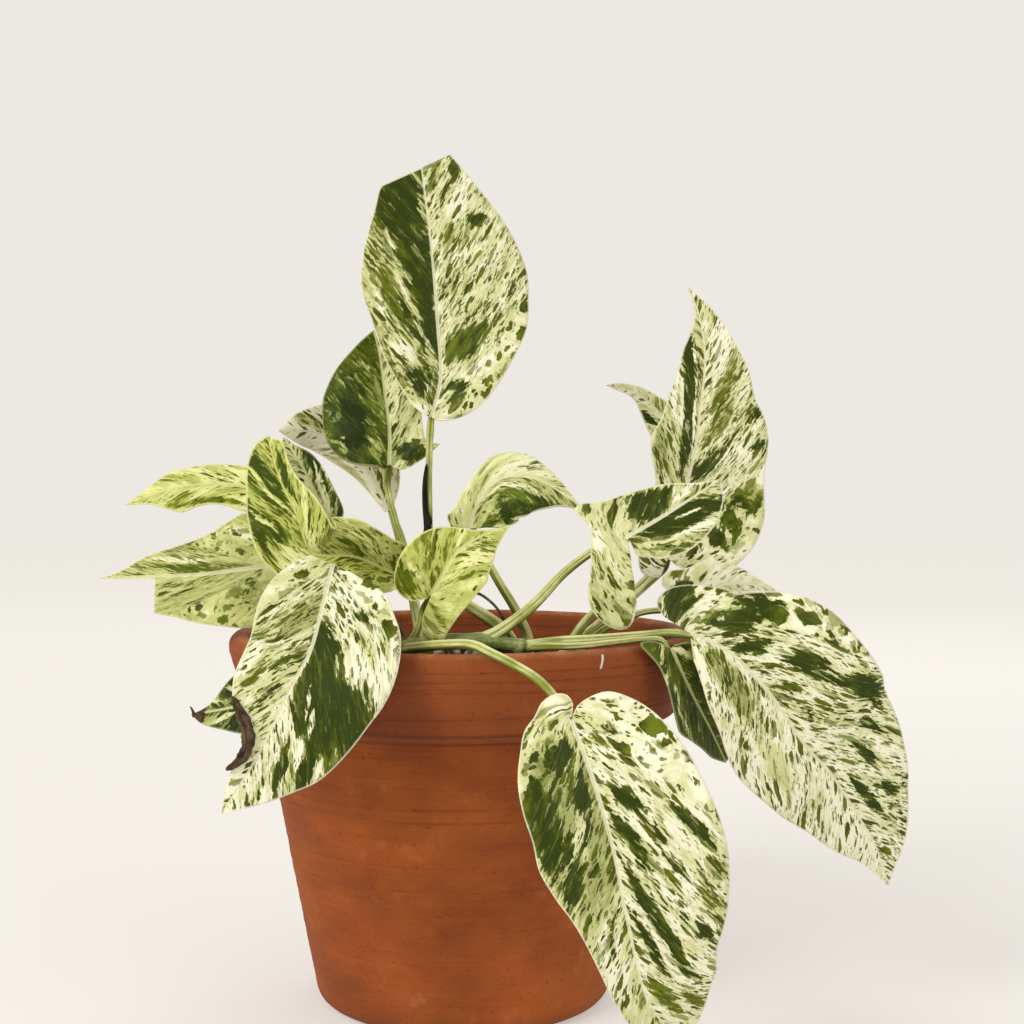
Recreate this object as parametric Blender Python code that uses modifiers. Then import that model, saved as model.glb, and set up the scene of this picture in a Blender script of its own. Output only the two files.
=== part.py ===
"""A snow queen pothos in a plain clay pot: eighteen variegated leaves on five short vines.

Design lengths are in millimetres and are scaled to metres when a mesh is made. +X is the
viewer's right, +Y goes away from the viewer and +Z is up. Every piece is designed round the
pot's own axis, with Z = 0 on the surface that the pot stands on. The finished plant is then
moved as a whole, so that the origin lies under the middle of all of it.
"""

import math

import bmesh
import bpy
import numpy as np

MM = 0.001

# Where the pot's axis stands once the plant is centred over the origin
POT_AXIS = (-11.0, 16.0, 0.0)

# Pot: a turned clay pot with a tall collar and a drainage hole
POT_HEIGHT = 124.2
RIM_RADIUS = 79.3
COLLAR_FOOT_RADIUS = 72.0
COLLAR_FOOT_HEIGHT = 96.5
BODY_TOP_RADIUS = 67.7
BASE_RADIUS = 49.4
WALL = 6.5
FLOOR = 6.0
DRAIN_RADIUS = 7.0
POT_STEPS = 44

# Soil: fills the pot to a little way under the rim
SOIL_HEIGHT = 108.0
SOIL_LUMP = 1.3
SOIL_STEPS = 36
CLEARANCE = 0.3
HOLE_DEPTH = 14.0
STEM_RADIUS = 3.0

# Leaves: each is a flat heart-shaped outline that is bent along its midrib
BLADE = 0.7
LEAF_ROWS = 14
FAN_ROWS = 5
LEAF_COLUMNS = 3
SHORTEST_FAN = 0.1
VEIN_LEAN = 0.5
WAVES = 2.5
WAVE_HEIGHT = 0.6
WAVE_WIDTH = 5.0
WAVE_LAG = 0.37
AXIS_REACH = 0.03
CORNER = True
CURVE_STEPS = 10

# Petioles: the leaf stalks, thinner towards the blade
STALK_SPACING = 9.0
STALK_SIDES = 1

# Colours as linear red, green and blue; a leaf's is the average of its cream and its green
CREAM = (0.52, 0.55, 0.27)
FRESH_GREEN = (0.43, 0.49, 0.12)
DEEP_GREEN = (0.12, 0.18, 0.05)
STEM_GREEN = (0.42, 0.48, 0.17)
TERRACOTTA = (0.31, 0.09, 0.025)
EARTH = (0.03, 0.018, 0.012)


def unit(vector):
    vector = np.asarray(vector, float)
    return vector / np.linalg.norm(vector)


def smooth_curve(points, steps=CURVE_STEPS):
    """A dense line through the points, rounded as a centripetal Catmull-Rom curve."""
    points = np.asarray(points, float)
    if len(points) == 2:
        return points[0] + (points[1] - points[0]) * np.linspace(0, 1, steps + 1)[:, None]
    ends = 2 * points[0] - points[1], 2 * points[-1] - points[-2]
    points = np.vstack([ends[0], points, ends[1]])
    line = [points[1]]
    for first in range(len(points) - 3):
        p = points[first:first + 4]
        knots = np.concatenate([[0], np.cumsum(np.linalg.norm(np.diff(p, axis=0), axis=1) ** 0.5)])
        for t in np.linspace(knots[1], knots[2], steps + 1)[1:]:
            line.append(blend_points(p, knots, t))
    return np.array(line)


def blend_points(points, knots, t):
    """The point at knot value t, by repeated blending of four points."""
    level = list(points)
    for reach in (1, 2):
        level = [
            mix(level[i], level[i + 1], knots[i], knots[i + reach], t)
            for i in range(len(level) - 1)
        ]
    return mix(level[0], level[1], knots[1], knots[2], t)


def mix(start, end, knot_start, knot_end, t):
    share = (t - knot_start) / (knot_end - knot_start)
    return start * (1 - share) + end * share


def run_lengths(line):
    """The distance along the line at each of its points."""
    steps = np.linalg.norm(np.diff(line, axis=0), axis=1)
    return np.concatenate([[0], np.cumsum(steps)])


def point_at(line, lengths, distance):
    return np.array([np.interp(distance, lengths, line[:, axis]) for axis in range(line.shape[1])])


# Each half of a leaf is its margin, from beside the petiole round to the tip, as pairs of
# millimetres: along the midrib from the base, and out from it. A True makes a sharp corner.
# Fold is how far the half is raised at the midrib, and curl how far it bends back in each
# centimetre, in degrees, at the leaf's base and at its tip.
def half(margin, fold=(12, 6), curl=(-6, -4)):
    return {"margin": margin, "fold": fold, "curl": curl}


def leaf(midrib, face, left, right, fan=FAN_ROWS, color=CREAM):
    """Midrib points run from base to tip. Face is where the upper side looks, base to tip."""
    halves = (left, right)
    return {"midrib": midrib, "face": face, "halves": halves, "fan": fan, "color": color}


LEAVES = {
    # Upright at the top, with the end of its tip cut straight across
    "leaf_top": leaf(
        midrib=[(-11, 2, 196), (-8, 3, 209), (-9, 4, 228), (-11, 3, 253), (-14, -3, 280)],
        face=[(0.1, -1, 0.15), (0.05, -1, -0.1)],
        left=half([(0, 2), (1, 5), (7, 13), (18, 18), (33, 22), (47, 25), (60, 23), (74.5, 17.3),
                   (81, 14.8, CORNER)]),
        right=half([(-0.6, 2), (0.2, 5.5), (2, 9), (5, 12.4), (10, 17), (17, 23), (27, 30), (39, 32),
                    (48, 32), (62, 27), (77, 18), (90, 9.3, CORNER)]),
    ),
    # Dark one behind it, its right half hooked
    "leaf_dark_upper": leaf(
        midrib=[(-27, 22, 180), (-27, 24, 192), (-29, 27, 206), (-31, 28, 220), (-33, 27, 228)],
        face=[(-0.1, -1, 0.15), (-0.1, -1, 0)],
        left=half([(-2, 1.6), (-1, 5), (0, 13), (4, 20), (10, 23), (25, 23), (32, 20), (39, 15),
                   (45, 8)], fold=(10, 5)),
        right=half([(-1, 1.4), (-2, 5), (1, 11), (5, 16), (7, 18.5, CORNER), (8, 13.5), (15, 12),
                    (24, 14), (35, 11.5), (43, 7)], fold=(10, 5)),
        color=DEEP_GREEN,
    ),
    # Pale one that shows its underside
    "leaf_pale_upper": leaf(
        midrib=[(-29, 42, 163), (-35, 42, 176), (-45, 40, 187), (-56, 37, 192), (-68, 33, 192)],
        face=[(-0.3, -1, -0.35), (-0.2, -1, -0.35)],
        left=half([(0, 1.6), (6, 4), (15, 7), (30, 9), (44, 7)], fold=(-14, -8), curl=(5, 4)),
        right=half([(0, 2), (8, 8), (17, 13), (27, 15), (34, 13), (41, 11), (50, 5)],
                   fold=(-14, -8), curl=(5, 4)),
        fan=2,
    ),
    # Large folded one, which runs left and then turns up
    "leaf_twisted": leaf(
        midrib=[(-22, -24, 144), (-34, -32, 150), (-47, -37, 152), (-52, -36, 164),
                (-58, -31, 175), (-63, -24, 189)],
        face=[(0, -1, 0.5), (-0.1, -1, 0.1), (-0.2, -1, 0.1)],
        left=half([(-1, 2), (2, 9), (10, 12.4), (22, 12.4), (29, 13), (33, 15), (37, 16), (48, 15),
                   (56, 11.5), (65, 8), (71, 4.3)], fold=(38, 22), curl=(-8, -6)),
        right=half([(-2.5, 6), (0, 10), (7, 10), (13, 11), (18, 12.4), (30, 12.6),
                    (43, 9.6), (49, 7.5), (61, 5.5), (68, 5)], fold=(30, 24), curl=(-8, -6)),
        color=FRESH_GREEN,
    ),
    # Dark streaked one behind the twisted one
    "leaf_streaked": leaf(
        midrib=[(-42, -20, 158), (-47, -20, 168), (-52, -18, 178), (-59, -16, 189)],
        face=[(0.25, -1, 0.1), (0.25, -1, 0.1)],
        left=half([(0, 2), (4, 6), (12, 8), (22, 7), (31, 4)], fold=(5, 5), curl=(0, 0)),
        right=half([(0, 1.6), (4, 6), (13, 6.5), (20, 6.3), (26, 5), (32, 1.5)],
                   fold=(-10, -5)),
        fan=2,
        color=DEEP_GREEN,
    ),
    # Two that reach out to the far left
    "leaf_left_upper": leaf(
        midrib=[(-68, 8, 170), (-82, 10, 173), (-99, 11, 172), (-118, 12, 166)],
        face=[(-0.1, -1, 0.9), (-0.1, -1, 0.6)],
        left=half([(-2, 3), (-1, 9), (4, 11), (14, 10.6), (23, 10.4), (30, 11.6), (37, 8),
                   (44, 3.3)], fold=(14, 6), curl=(-5, -4)),
        right=half([(0, 2), (3, 6), (9, 7.5), (16, 8), (22, 8), (29, 7), (35, 6), (41, 4)],
                   fold=(14, 6), curl=(-5, -4)),
        color=FRESH_GREEN,
    ),
    "leaf_left_lower": leaf(
        midrib=[(-61, -26, 147), (-69, -26, 146), (-84, -24, 144), (-102, -20, 143),
                (-120, -16, 142)],
        face=[(-0.1, -1, 0.6), (-0.1, -1, 0.5)],
        left=half([(-1, 11), (4, 18), (12, 19), (18, 18), (26, 16), (34, 13.4),
                   (41, 12, CORNER), (40.7, 1, CORNER)], fold=(-30, -15), curl=(3, 2)),
        right=half([(-2, 10), (3, 18), (9, 19), (13, 17.5), (19, 15), (28, 12), (37, 9),
                    (46, 6), (53, 2.5)], fold=(16, 8)),
        color=FRESH_GREEN,
    ),
    # Large pale one that hangs over the front left, with a dead bite in its margin
    "leaf_front_left": leaf(
        midrib=[(-38, -58, 149), (-40, -73, 135), (-42, -82, 125), (-46, -87, 117),
                (-55, -90, 98), (-67, -86, 79)],
        face=[(-0.05, -1, 0.6), (-0.1, -1, 0.1), (-0.15, -1, -0.1)],
        left=half([(11, 16.3), (15, 19.5), (20, 22.3), (27, 25.3), (37, 26.7), (49, 25),
                   (57, 22.7), (65, 19), (71, 14), (79, 8)]),
        right=half([(-2, 7), (1, 11.5), (7, 16), (16, 18.5), (31, 18.3), (43, 17),
                    (50, 16.4), (56, 14, CORNER), (57, 10), (60, 6), (65, 3),
                    (69, 2.3), (75, 4.6, CORNER), (80, 3.3), (85, 1.8)]),
        fan=3,
    ),
    # Small one that hangs outside the rim, under the large pale one
    "leaf_under_rim": leaf(
        midrib=[(-46, -72, 113), (-58, -66, 109), (-71, -58, 105), (-83, -50, 102)],
        face=[(-0.4, -1, 0.4), (-0.5, -1, 0.3)],
        left=half([(-1, 2), (0, 7), (9, 10), (22, 9), (30, 6.5), (39, 3.5)], fold=(10, 5)),
        right=half([(-1, 2), (1, 7), (10, 11.5), (24, 10), (33, 4), (39, 1.2)], fold=(10, 5)),
    ),
    # Small yellow-green one in the middle, with one lobe that hangs down
    "leaf_centre": leaf(
        midrib=[(-8, -57, 140), (-4, -59, 147), (0, -58, 153), (6, -54, 157), (16, -48, 161)],
        face=[(0, -1, 0.5), (0.2, -1, 0.4)],
        left=half([(-2, 0.5), (-5, 4), (-5.6, 8), (-4.6, 11), (-2, 13), (2, 14), (8, 14),
                   (13, 12.7), (19.5, 7.2), (23.5, 3.3), (29, 0.8)], curl=(-7, -5)),
        right=half([(-7, 1), (-10.3, 2.6), (-12, 5.5), (-11, 10.5), (-6, 11),
                    (0, 11.5), (8, 12.4), (13, 13), (22, 9.7), (28, 5.4)], curl=(-7, -5)),
        fan=7,
        color=FRESH_GREEN,
    ),
    # Arching one behind it, with its tip to the right
    "leaf_arching": leaf(
        midrib=[(3, -28, 159), (6, -30, 168), (13, -31, 175), (24, -31, 175), (33, -30, 170),
                (41, -29, 164)],
        face=[(-0.5, -1, 0.5), (-0.1, -1, 0.7), (0.1, -1, 0.6)],
        left=half([(-2, 7), (1, 9), (5.5, 7), (9, 7), (12, 7), (17, 8), (20, 9),
                   (25, 8.7), (29, 7.6), (33, 5.7), (39, 3.5), (46, 0.8)], fold=(10, 5)),
        right=half([(5, 12), (11, 16), (22, 17.5), (30, 15), (38, 9), (42, 5), (47, 1.7)],
                   fold=(10, 5)),
        fan=2,
        color=FRESH_GREEN,
    ),
    # One that points right, with a long lobe that hangs down from its base
    "leaf_pointing_right": leaf(
        midrib=[(53, -42, 157), (62, -41, 162), (72, -38, 168), (83, -34, 175)],
        face=[(0.1, -1, 0.45), (0.1, -1, 0.45)],
        left=half([(-9, -20.5), (-13, -24.5),
                   (-16.5, -24.5), (-20.5, -20), (-21.6, -14), (-20, -9.5), (-16, -4), (-13, 1),
                   (-10, 6), (-9, 10.5), (-10.5, 15.7), (-8, 16.8), (-1, 14), (8, 12.4), (19, 9),
                   (28, 3.5)], fold=(0, 6), curl=(0, -4)),
        right=half([(-1, 7.5), (4, 11.6), (10, 14), (14, 14.3), (22, 12.6),
                    (29, 9), (33, 5.3)], fold=(16, 6)),
        fan=9,
    ),
    # Tall one at the back right
    "leaf_tall_right": leaf(
        midrib=[(71, 12, 147), (75, 13, 161), (78, 14, 174), (81, 16, 187), (83, 19, 201),
                (85, 23, 217), (83, 25, 233), (79, 24, 243)],
        face=[(0, -1, 0.2), (0, -1, -0.1)],
        left=half([(-7, 1), (-8, 4), (-7, 8), (-2, 10.5), (10, 12), (26, 11.5),
                   (34, 15), (41, 16), (49, 13.4), (56, 12), (65, 10), (76, 8), (84, 4),
                   (89, 1.6)], fold=(14, 8)),
        right=half([(-1.5, 4), (-2.6, 12.5), (1, 20.5), (7, 25), (13, 27.7), (21, 28.6),
                    (29, 27), (38, 25.3), (46, 25), (54, 22.5), (61, 18.5), (68, 16), (76, 11.7),
                    (85, 7.5), (93, 3.6)], fold=(14, 8)),
    ),
    # One behind the tall one, with only its tip in view
    "leaf_behind_right": leaf(
        midrib=[(86, 48, 178), (76, 46, 193), (64, 44, 205), (51, 40, 209)],
        face=[(-0.3, -1, 0.5), (-0.2, -1, 0.4)],
        left=half([(0, 6), (4, 8), (11, 9), (22, 8.3), (32, 5), (39, 2), (45, 0.8)],
                  fold=(14, 6), curl=(-5, -4)),
        right=half([(3, 6.5), (7, 9), (13, 10), (21, 9), (27.6, 5), (33, 3.6), (39, 2.8),
                    (45.6, 1.9)], fold=(14, 6), curl=(-5, -4)),
    ),
    # Short pale one under the tall one
    "leaf_under_tall": leaf(
        midrib=[(78, 0, 134), (86, 0, 138), (94, 1, 139), (107, 2, 137)],
        face=[(0, -1, 0.8), (0.1, -1, 0.8)],
        left=half([(-5, 5), (-6.7, 9.4), (-3.5, 13), (4, 11), (12, 8.6), (18, 7),
                   (24, 3)], fold=(10, 5), curl=(-5, -4)),
        right=half([(-3, 5), (3, 9), (11, 11), (20, 9), (26, 4)], fold=(10, 5),
                   curl=(-5, -4)),
    ),
    # Large cream one that falls away to the right
    "leaf_big_right": leaf(
        midrib=[(72, -46, 127), (83, -51, 122), (95, -53, 110), (107, -52, 93), (116, -49, 83),
                (124, -45, 71), (131, -41, 60), (137, -36, 45)],
        face=[(-0.1, -1, 0.5), (0, -1, 0.15), (0.1, -1, 0.1)],
        left=half([(-10, 1.6), (-13, 3.5), (-14, 6), (-12.5, 10), (-9, 13),
                   (-3.5, 15.7), (3, 17.5), (8, 17.4, CORNER), (11, 21.6), (19, 29), (26, 32),
                   (34, 32.5), (41, 33), (52, 32), (62, 28.6), (71, 24.5), (80, 21), (88, 16),
                   (95, 11), (103, 5)]),
        right=half([(6, 8.5), (11, 12.5), (19.5, 17), (30, 20), (39, 22), (46, 23),
                    (54, 21.5), (66, 20), (77, 16), (90, 11), (100.5, 5)]),
    ),
    # Dark one behind the large cream one, over the rim
    "leaf_dark_right": leaf(
        midrib=[(66, -49, 122), (72, -47, 109), (79, -41, 96), (85, -34, 84)],
        face=[(0.62, -0.78, 0.1), (0.62, -0.78, 0.1)],
        left=half([(-1, 2), (1, 7), (6, 11), (20, 12.5), (34, 10.5), (44, 4)], curl=(-5, -4)),
        right=half([(-2, 1.5), (-6, 6), (-8.4, 12.7), (-4, 11.4), (0, 10), (5, 9.6), (10, 9.9),
                    (16, 11.5), (20, 12.7), (25, 10.5), (31, 8), (38, 5)], fold=(14, 6),
                   curl=(0, 0)),
        color=DEEP_GREEN,
    ),
    # Largest one, which hangs down the front of the pot
    "leaf_front_hanging": leaf(
        midrib=[(33, -97, 108), (38, -103, 95), (44, -108, 75), (48, -110, 55), (54, -108, 32),
                (64, -103, 18)],
        face=[(-0.05, -1, 0.3), (0, -1, 0), (0, -1, -0.15)],
        left=half([(-1, 1.2), (-2.7, 3), (-3.7, 8), (-3, 13), (2, 19), (8, 23), (16, 26.5),
                   (24, 28.5), (33, 30), (41, 30.7), (49, 30), (58, 28), (65, 25), (70, 22.5),
                   (81, 20), (90, 14), (95.5, 6.7)]),
        right=half([(-1.6, -1), (-4.5, -2.2), (-7.4, -1.2), (-8.4, 2), (-7.4, 6), (-4, 9.5),
                    (-1, 13.5), (4.5, 16.7), (12, 20), (21, 21.3), (30, 21), (39, 21.2),
                    (47.5, 18.4), (55, 14.5), (64, 11.7), (71, 10), (79, 8.6), (88, 7)]),
    ),
}


# A vine is a short stem with a petiole for each of its leaves. Its stem starts straight up
# in a hole in the soil.
def stalk(route, width=3.2, tip=2.2):
    """Route points end at the leaf, which adds its own base. Widths are at node and blade."""
    return {"route": route, "radii": (width / 2, tip / 2)}


VINES = {
    "vine_front": {
        "stem": [(-28, -30, 95), (-28, -30, 103), (-28, -31, 111), (-22, -44, 120),
                 (-10, -53, 124.5), (7, -56, 125.5), (20, -55, 123.5)],
        "stalks": {
            "leaf_front_hanging": stalk([(-17, -48, 122), (-13, -61, 124), (-4, -71, 126),
                                         (5, -77, 126.6), (11, -82, 124.5), (17, -86, 122),
                                         (24, -89, 118), (29, -92, 113)], 3.4, 2.4),
            "leaf_pointing_right": stalk([(7, -56, 125.5), (12, -55, 128), (22, -50, 135),
                                          (34, -37, 146), (44, -36, 153)], 3.8, 2.4),
            "leaf_big_right": stalk([(20, -55, 123.5), (31, -52, 125), (41, -50, 125.4),
                                     (56, -47, 126.3), (66, -45, 126.9)], 3.2, 2.4),
            "leaf_dark_right": stalk([(20, -55, 123.5), (38, -56, 124.2), (50, -53.8, 125.2),
                                      (58, -51, 125.6), (63, -48.6, 125)], 2.4, 1.6),
            "leaf_centre": stalk([(-16, -49, 122.5), (-13, -50, 128), (-11, -50, 135)], 2.4, 1.6),
        },
    },
    "vine_middle": {
        "stem": [(20, -32, 95), (20, -32, 103), (20, -32, 110), (19, -35, 118)],
        "stalks": {
            "leaf_twisted": stalk([(19, -35, 117), (14, -41, 127), (2, -35, 135),
                                   (-8, -23, 139), (-16, -18, 142)], 4.4, 2.6),
            "leaf_arching": stalk([(20, -33, 112), (22, -26, 122), (18, -27, 132), (12, -27, 142),
                                   (6, -25, 153)], 3.6, 2.2),
        },
    },
    "vine_right": {
        "stem": [(34, -14, 95), (34, -14, 103), (34, -14, 110), (33, -17, 117)],
        "stalks": {
            "leaf_tall_right": stalk([(33, -17, 116), (43, -9, 129), (56, 4, 133), (64, 14, 138),
                                      (70, 18, 143)]),
            "leaf_behind_right": stalk([(34, -14, 113), (40, -7, 121), (47, 1, 126),
                                        (64, 24, 139), (79, 42, 154), (87, 54, 167)]),
            "leaf_under_tall": stalk([(35, -13, 113), (46, -5, 123), (61, 3, 129), (71, 5, 130)],
                                     2.6, 2),
        },
    },
    "vine_back": {
        "stem": [(-14, 8, 95), (-14, 8, 103), (-14, 8, 110), (-15, 9, 120)],
        "stalks": {
            "leaf_top": stalk([(-14, 8, 112), (-12, 3, 127), (-12, 2, 158), (-12, 2.5, 178)],
                              3.4, 2.2),
            "leaf_dark_upper": stalk([(-15, 9, 117), (-19, 15, 136), (-22, 20, 152),
                                      (-25, 23, 160), (-28, 26, 173)], 3, 2.2),
            "leaf_pale_upper": stalk([(-15, 9, 118), (-18, 24, 132), (-23, 36, 145)], 2.8, 2),
        },
    },
    "vine_left": {
        "stem": [(-38, -12, 95), (-38, -12, 103), (-38, -12, 110), (-38, -13, 119)],
        "stalks": {
            "leaf_front_left": stalk([(-38, -13, 118), (-38, -22, 127), (-37, -40, 134),
                                      (-37, -52, 142)], 3.2, 2.4),
            "leaf_left_lower": stalk([(-38, -12, 116), (-49, -14, 131), (-56, -18, 140)], 3, 2.2),
            "leaf_left_upper": stalk([(-38, -12, 114), (-45, -3, 130), (-54, 5, 152)], 3, 2),
            "leaf_streaked": stalk([(-38, -12, 118), (-38, -13, 138)], 2.6, 1.8),
            "leaf_under_rim": stalk([(-38, -12, 110), (-35, -34, 117), (-35, -52, 122.5),
                                     (-36, -62, 126), (-37.5, -69.5, 126), (-40, -74, 122.5)],
                                    2.2, 1.6),
        },
    },
}


def margin_line(side):
    """The half's margin as a dense line, smooth between its corners, in millimetres."""
    pieces = [[]]
    for point in side["margin"]:
        pieces[-1].append(point[:2])
        if len(point) > 2:
            pieces.append([point[:2]])
    pieces[-1].append((side["length"], 0))
    lines = [smooth_curve(piece) for piece in pieces if len(piece) > 1]
    return np.vstack([lines[0]] + [line[1:] for line in lines[1:]])


def margin_stations(side, roots, fan):
    """The margin's point for each row: the fan's rows share the base, the others their vein."""
    line = margin_line(side)
    lengths = run_lengths(line)
    along = line[:, 0] - VEIN_LEAN * np.abs(line[:, 1])
    along = np.maximum.accumulate(along) + 0.001 * lengths
    veins = np.interp(roots[fan:], along, lengths)
    veins[-1] = lengths[-1]
    first = max(veins[0], SHORTEST_FAN * lengths[-1])
    stretch = (lengths[-1] - first) / (lengths[-1] - veins[0])
    beyond = first + (veins - veins[0]) * stretch
    across_fan = np.linspace(0, first, fan + 1)[:-1]
    return [point_at(line, lengths, distance) for distance in np.append(across_fan, beyond)]


def prepare_leaf(design):
    """Adds the midrib's dense line and its length to the design."""
    line = smooth_curve(design["midrib"])
    design["line"] = line
    design["lengths"] = run_lengths(line)
    design["length"] = design["lengths"][-1]
    for side in design["halves"]:
        side["length"] = design["length"]


def leaf_axes(design, along):
    """The midrib's point there, its direction, the way the face looks, and the way across."""
    line, lengths, length = design["line"], design["lengths"], design["length"]
    inside = min(max(along, 0), length)
    reach = AXIS_REACH * length
    ahead = point_at(line, lengths, min(inside + reach, length))
    behind = point_at(line, lengths, max(inside - reach, 0))
    forward = unit(ahead - behind)
    faces = [unit(face) for face in design["face"]]
    spot = inside / length * (len(faces) - 1)
    first = min(int(spot), len(faces) - 2)
    normal = unit(faces[first] * (1 - spot + first) + faces[first + 1] * (spot - first))
    normal = unit(normal - normal.dot(forward) * forward)
    point = point_at(line, lengths, inside) + forward * (along - inside)
    return point, forward, normal, np.cross(forward, normal)


def bend(start, end, share):
    return math.radians(start + (end - start) * share)


def blade_point(design, which, along, out, share_out, turn):
    """A point of the flat outline, taken to its place on the bent blade."""
    side = design["halves"][which]
    point, _, normal, across = leaf_axes(design, along)
    share = min(max(along / design["length"], 0), 1)
    fold = bend(*side["fold"], share)
    curl = bend(*side["curl"], share) / 10
    if abs(curl) < 1e-6:
        reach, lift = out * math.cos(fold), out * math.sin(fold)
    else:
        reach = (math.sin(fold + curl * out) - math.sin(fold)) / curl
        lift = (math.cos(fold) - math.cos(fold + curl * out)) / curl
    ripple = math.sin(2 * math.pi * (WAVES * turn + WAVE_LAG * which))
    lift += WAVE_HEIGHT * share_out ** 2 * ripple * min(1, out / WAVE_WIDTH)
    return point + (1 if which else -1) * across * reach + normal * lift


def leaf_rows(design, rows, fan, columns):
    """Rows of points from the left margin over the midrib to the right margin."""
    prepare_leaf(design)
    roots = np.append(np.zeros(fan), np.linspace(0, design["length"], rows - fan + 1))
    edges = [margin_stations(side, roots, fan) for side in design["halves"]]
    grid = np.zeros((rows + 1, 2 * columns + 1, 3))
    for row, root in enumerate(roots):
        for column in range(-columns, columns + 1):
            which = int(column > 0)
            share = abs(column) / columns
            along = root + (edges[which][row][0] - root) * share
            out = edges[which][row][1] * share
            place = blade_point(design, which, along, out, share, row / rows)
            grid[row, column + columns] = place
    return grid


def material(name, color, roughness):
    made = bpy.data.materials.new(name)
    made.use_nodes = True
    shader = made.node_tree.nodes["Principled BSDF"]
    shader.inputs["Base Color"].default_value = (*color, 1)
    shader.inputs["Roughness"].default_value = roughness
    return made


def add_object(name, mesh, collection, finish=None):
    made = bpy.data.objects.new(name, mesh)
    collection.objects.link(made)
    if finish:
        mesh.materials.clear()
        mesh.materials.append(finish)
    return made


def make_leaf(name, design, collection, finish):
    grid = leaf_rows(design, LEAF_ROWS, design["fan"], LEAF_COLUMNS)
    shape = bmesh.new()
    bmesh.ops.create_grid(shape, x_segments=LEAF_ROWS, y_segments=2 * LEAF_COLUMNS, size=1)
    for vertex in shape.verts:
        row = round((vertex.co.x + 1) / 2 * LEAF_ROWS)
        column = round((vertex.co.y + 1) * LEAF_COLUMNS)
        vertex.co = grid[row, column] * MM
    bmesh.ops.remove_doubles(shape, verts=shape.verts, dist=0.01 * MM)
    bmesh.ops.triangulate(shape, faces=shape.faces)
    mesh = bpy.data.meshes.new(name)
    shape.to_mesh(mesh)
    shape.free()
    mesh.shade_smooth()
    blade = add_object(name, mesh, collection, finish)
    thicken = blade.modifiers.new("Blade", "SOLIDIFY")
    thicken.thickness = BLADE * MM
    thicken.offset = 0


def even_points(route, spacing):
    """Points along a smooth curve through the route, about the spacing apart."""
    line = smooth_curve(route)
    lengths = run_lengths(line)
    count = max(2, round(lengths[-1] / spacing))
    return [point_at(line, lengths, s) for s in np.linspace(0, lengths[-1], count + 1)]


def make_tube(name, points, radii, collection, sides=STALK_SIDES):
    """A closed tube through the points, whose radius goes evenly from the first to the last."""
    curve = bpy.data.curves.new(name, "CURVE")
    curve.dimensions = "3D"
    curve.bevel_depth = MM
    curve.bevel_resolution = sides
    curve.use_fill_caps = True
    spline = curve.splines.new("POLY")
    spline.points.add(len(points) - 1)
    for index, point in enumerate(points):
        spline.points[index].co = (*(point * MM), 1)
        share = index / (len(points) - 1)
        spline.points[index].radius = radii[0] + (radii[1] - radii[0]) * share
    guide = add_object(name + "_route", curve, collection)
    tube = add_object(name, solid_of(guide), collection)
    bpy.data.objects.remove(guide)
    return tube


def solid_of(source):
    """The object's evaluated shape as a mesh of its own, with loose caps welded on."""
    bpy.context.view_layer.update()
    graph = bpy.context.evaluated_depsgraph_get()
    mesh = bpy.data.meshes.new_from_object(source.evaluated_get(graph))
    shape = bmesh.new()
    shape.from_mesh(mesh)
    bmesh.ops.remove_doubles(shape, verts=shape.verts, dist=0.01 * MM)
    bmesh.ops.recalc_face_normals(shape, faces=shape.faces)
    shape.to_mesh(mesh)
    shape.free()
    return mesh


def stalk_end(design, coming_from, radius):
    """Where a petiole ends: behind the leaf's base, with a small gap to the blade."""
    point, _, normal, _ = leaf_axes(design, 0)
    direction = unit(point - coming_from)
    leaning = math.sqrt(max(0, 1 - direction.dot(normal) ** 2))
    folded_back = min(0, *(side["fold"][0] for side in design["halves"]))
    gap = BLADE / 2 + CLEARANCE + radius * leaning
    return point - normal * gap / math.cos(math.radians(folded_back)) ** 2


def make_vine(name, vine, collection, workshop, finish):
    """One solid: the stem with its petioles joined on."""
    parts = bpy.data.collections.new(name + "_parts")
    workshop.children.link(parts)
    stem_points = even_points(vine["stem"], STALK_SPACING / 2)
    stem = make_tube(name, stem_points, (STEM_RADIUS, 0.8 * STEM_RADIUS), collection, 2)
    for leaf_name, one in vine["stalks"].items():
        start, end = one["radii"]
        last = np.array(one["route"][-1], float)
        route = one["route"] + [stalk_end(LEAVES[leaf_name], last, end)]
        make_tube(leaf_name + "_stalk", even_points(route, STALK_SPACING), (start, end), parts)
    joined = stem.modifiers.new("Join", "BOOLEAN")
    joined.operation = "UNION"
    joined.operand_type = "COLLECTION"
    joined.collection = parts
    mesh = solid_of(stem)
    bpy.data.objects.remove(stem)
    for part in list(parts.objects):
        bpy.data.objects.remove(part)
    mesh.shade_smooth()
    add_object(name, mesh, collection, finish)


def turned(name, profile, steps, collection, closed):
    """A Screw solid of the profile, given as radius and height in millimetres."""
    mesh = bpy.data.meshes.new(name)
    edges = [(i, i + 1) for i in range(len(profile) - 1)]
    if closed:
        edges.append((len(profile) - 1, 0))
    mesh.from_pydata([(radius * MM, 0, height * MM) for radius, height in profile], edges, [])
    made = add_object(name, mesh, collection)
    spin = made.modifiers.new("Turn", "SCREW")
    spin.steps = steps
    spin.render_steps = steps
    spin.use_merge_vertices = True
    spin.merge_threshold = 0.00001
    spin.use_smooth_shade = True
    return made


def inner_radius(height):
    """The pot's inside, which keeps the wall's thickness under the collar."""
    slope = (BODY_TOP_RADIUS - BASE_RADIUS) / COLLAR_FOOT_HEIGHT
    return BASE_RADIUS + slope * height - WALL


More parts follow.
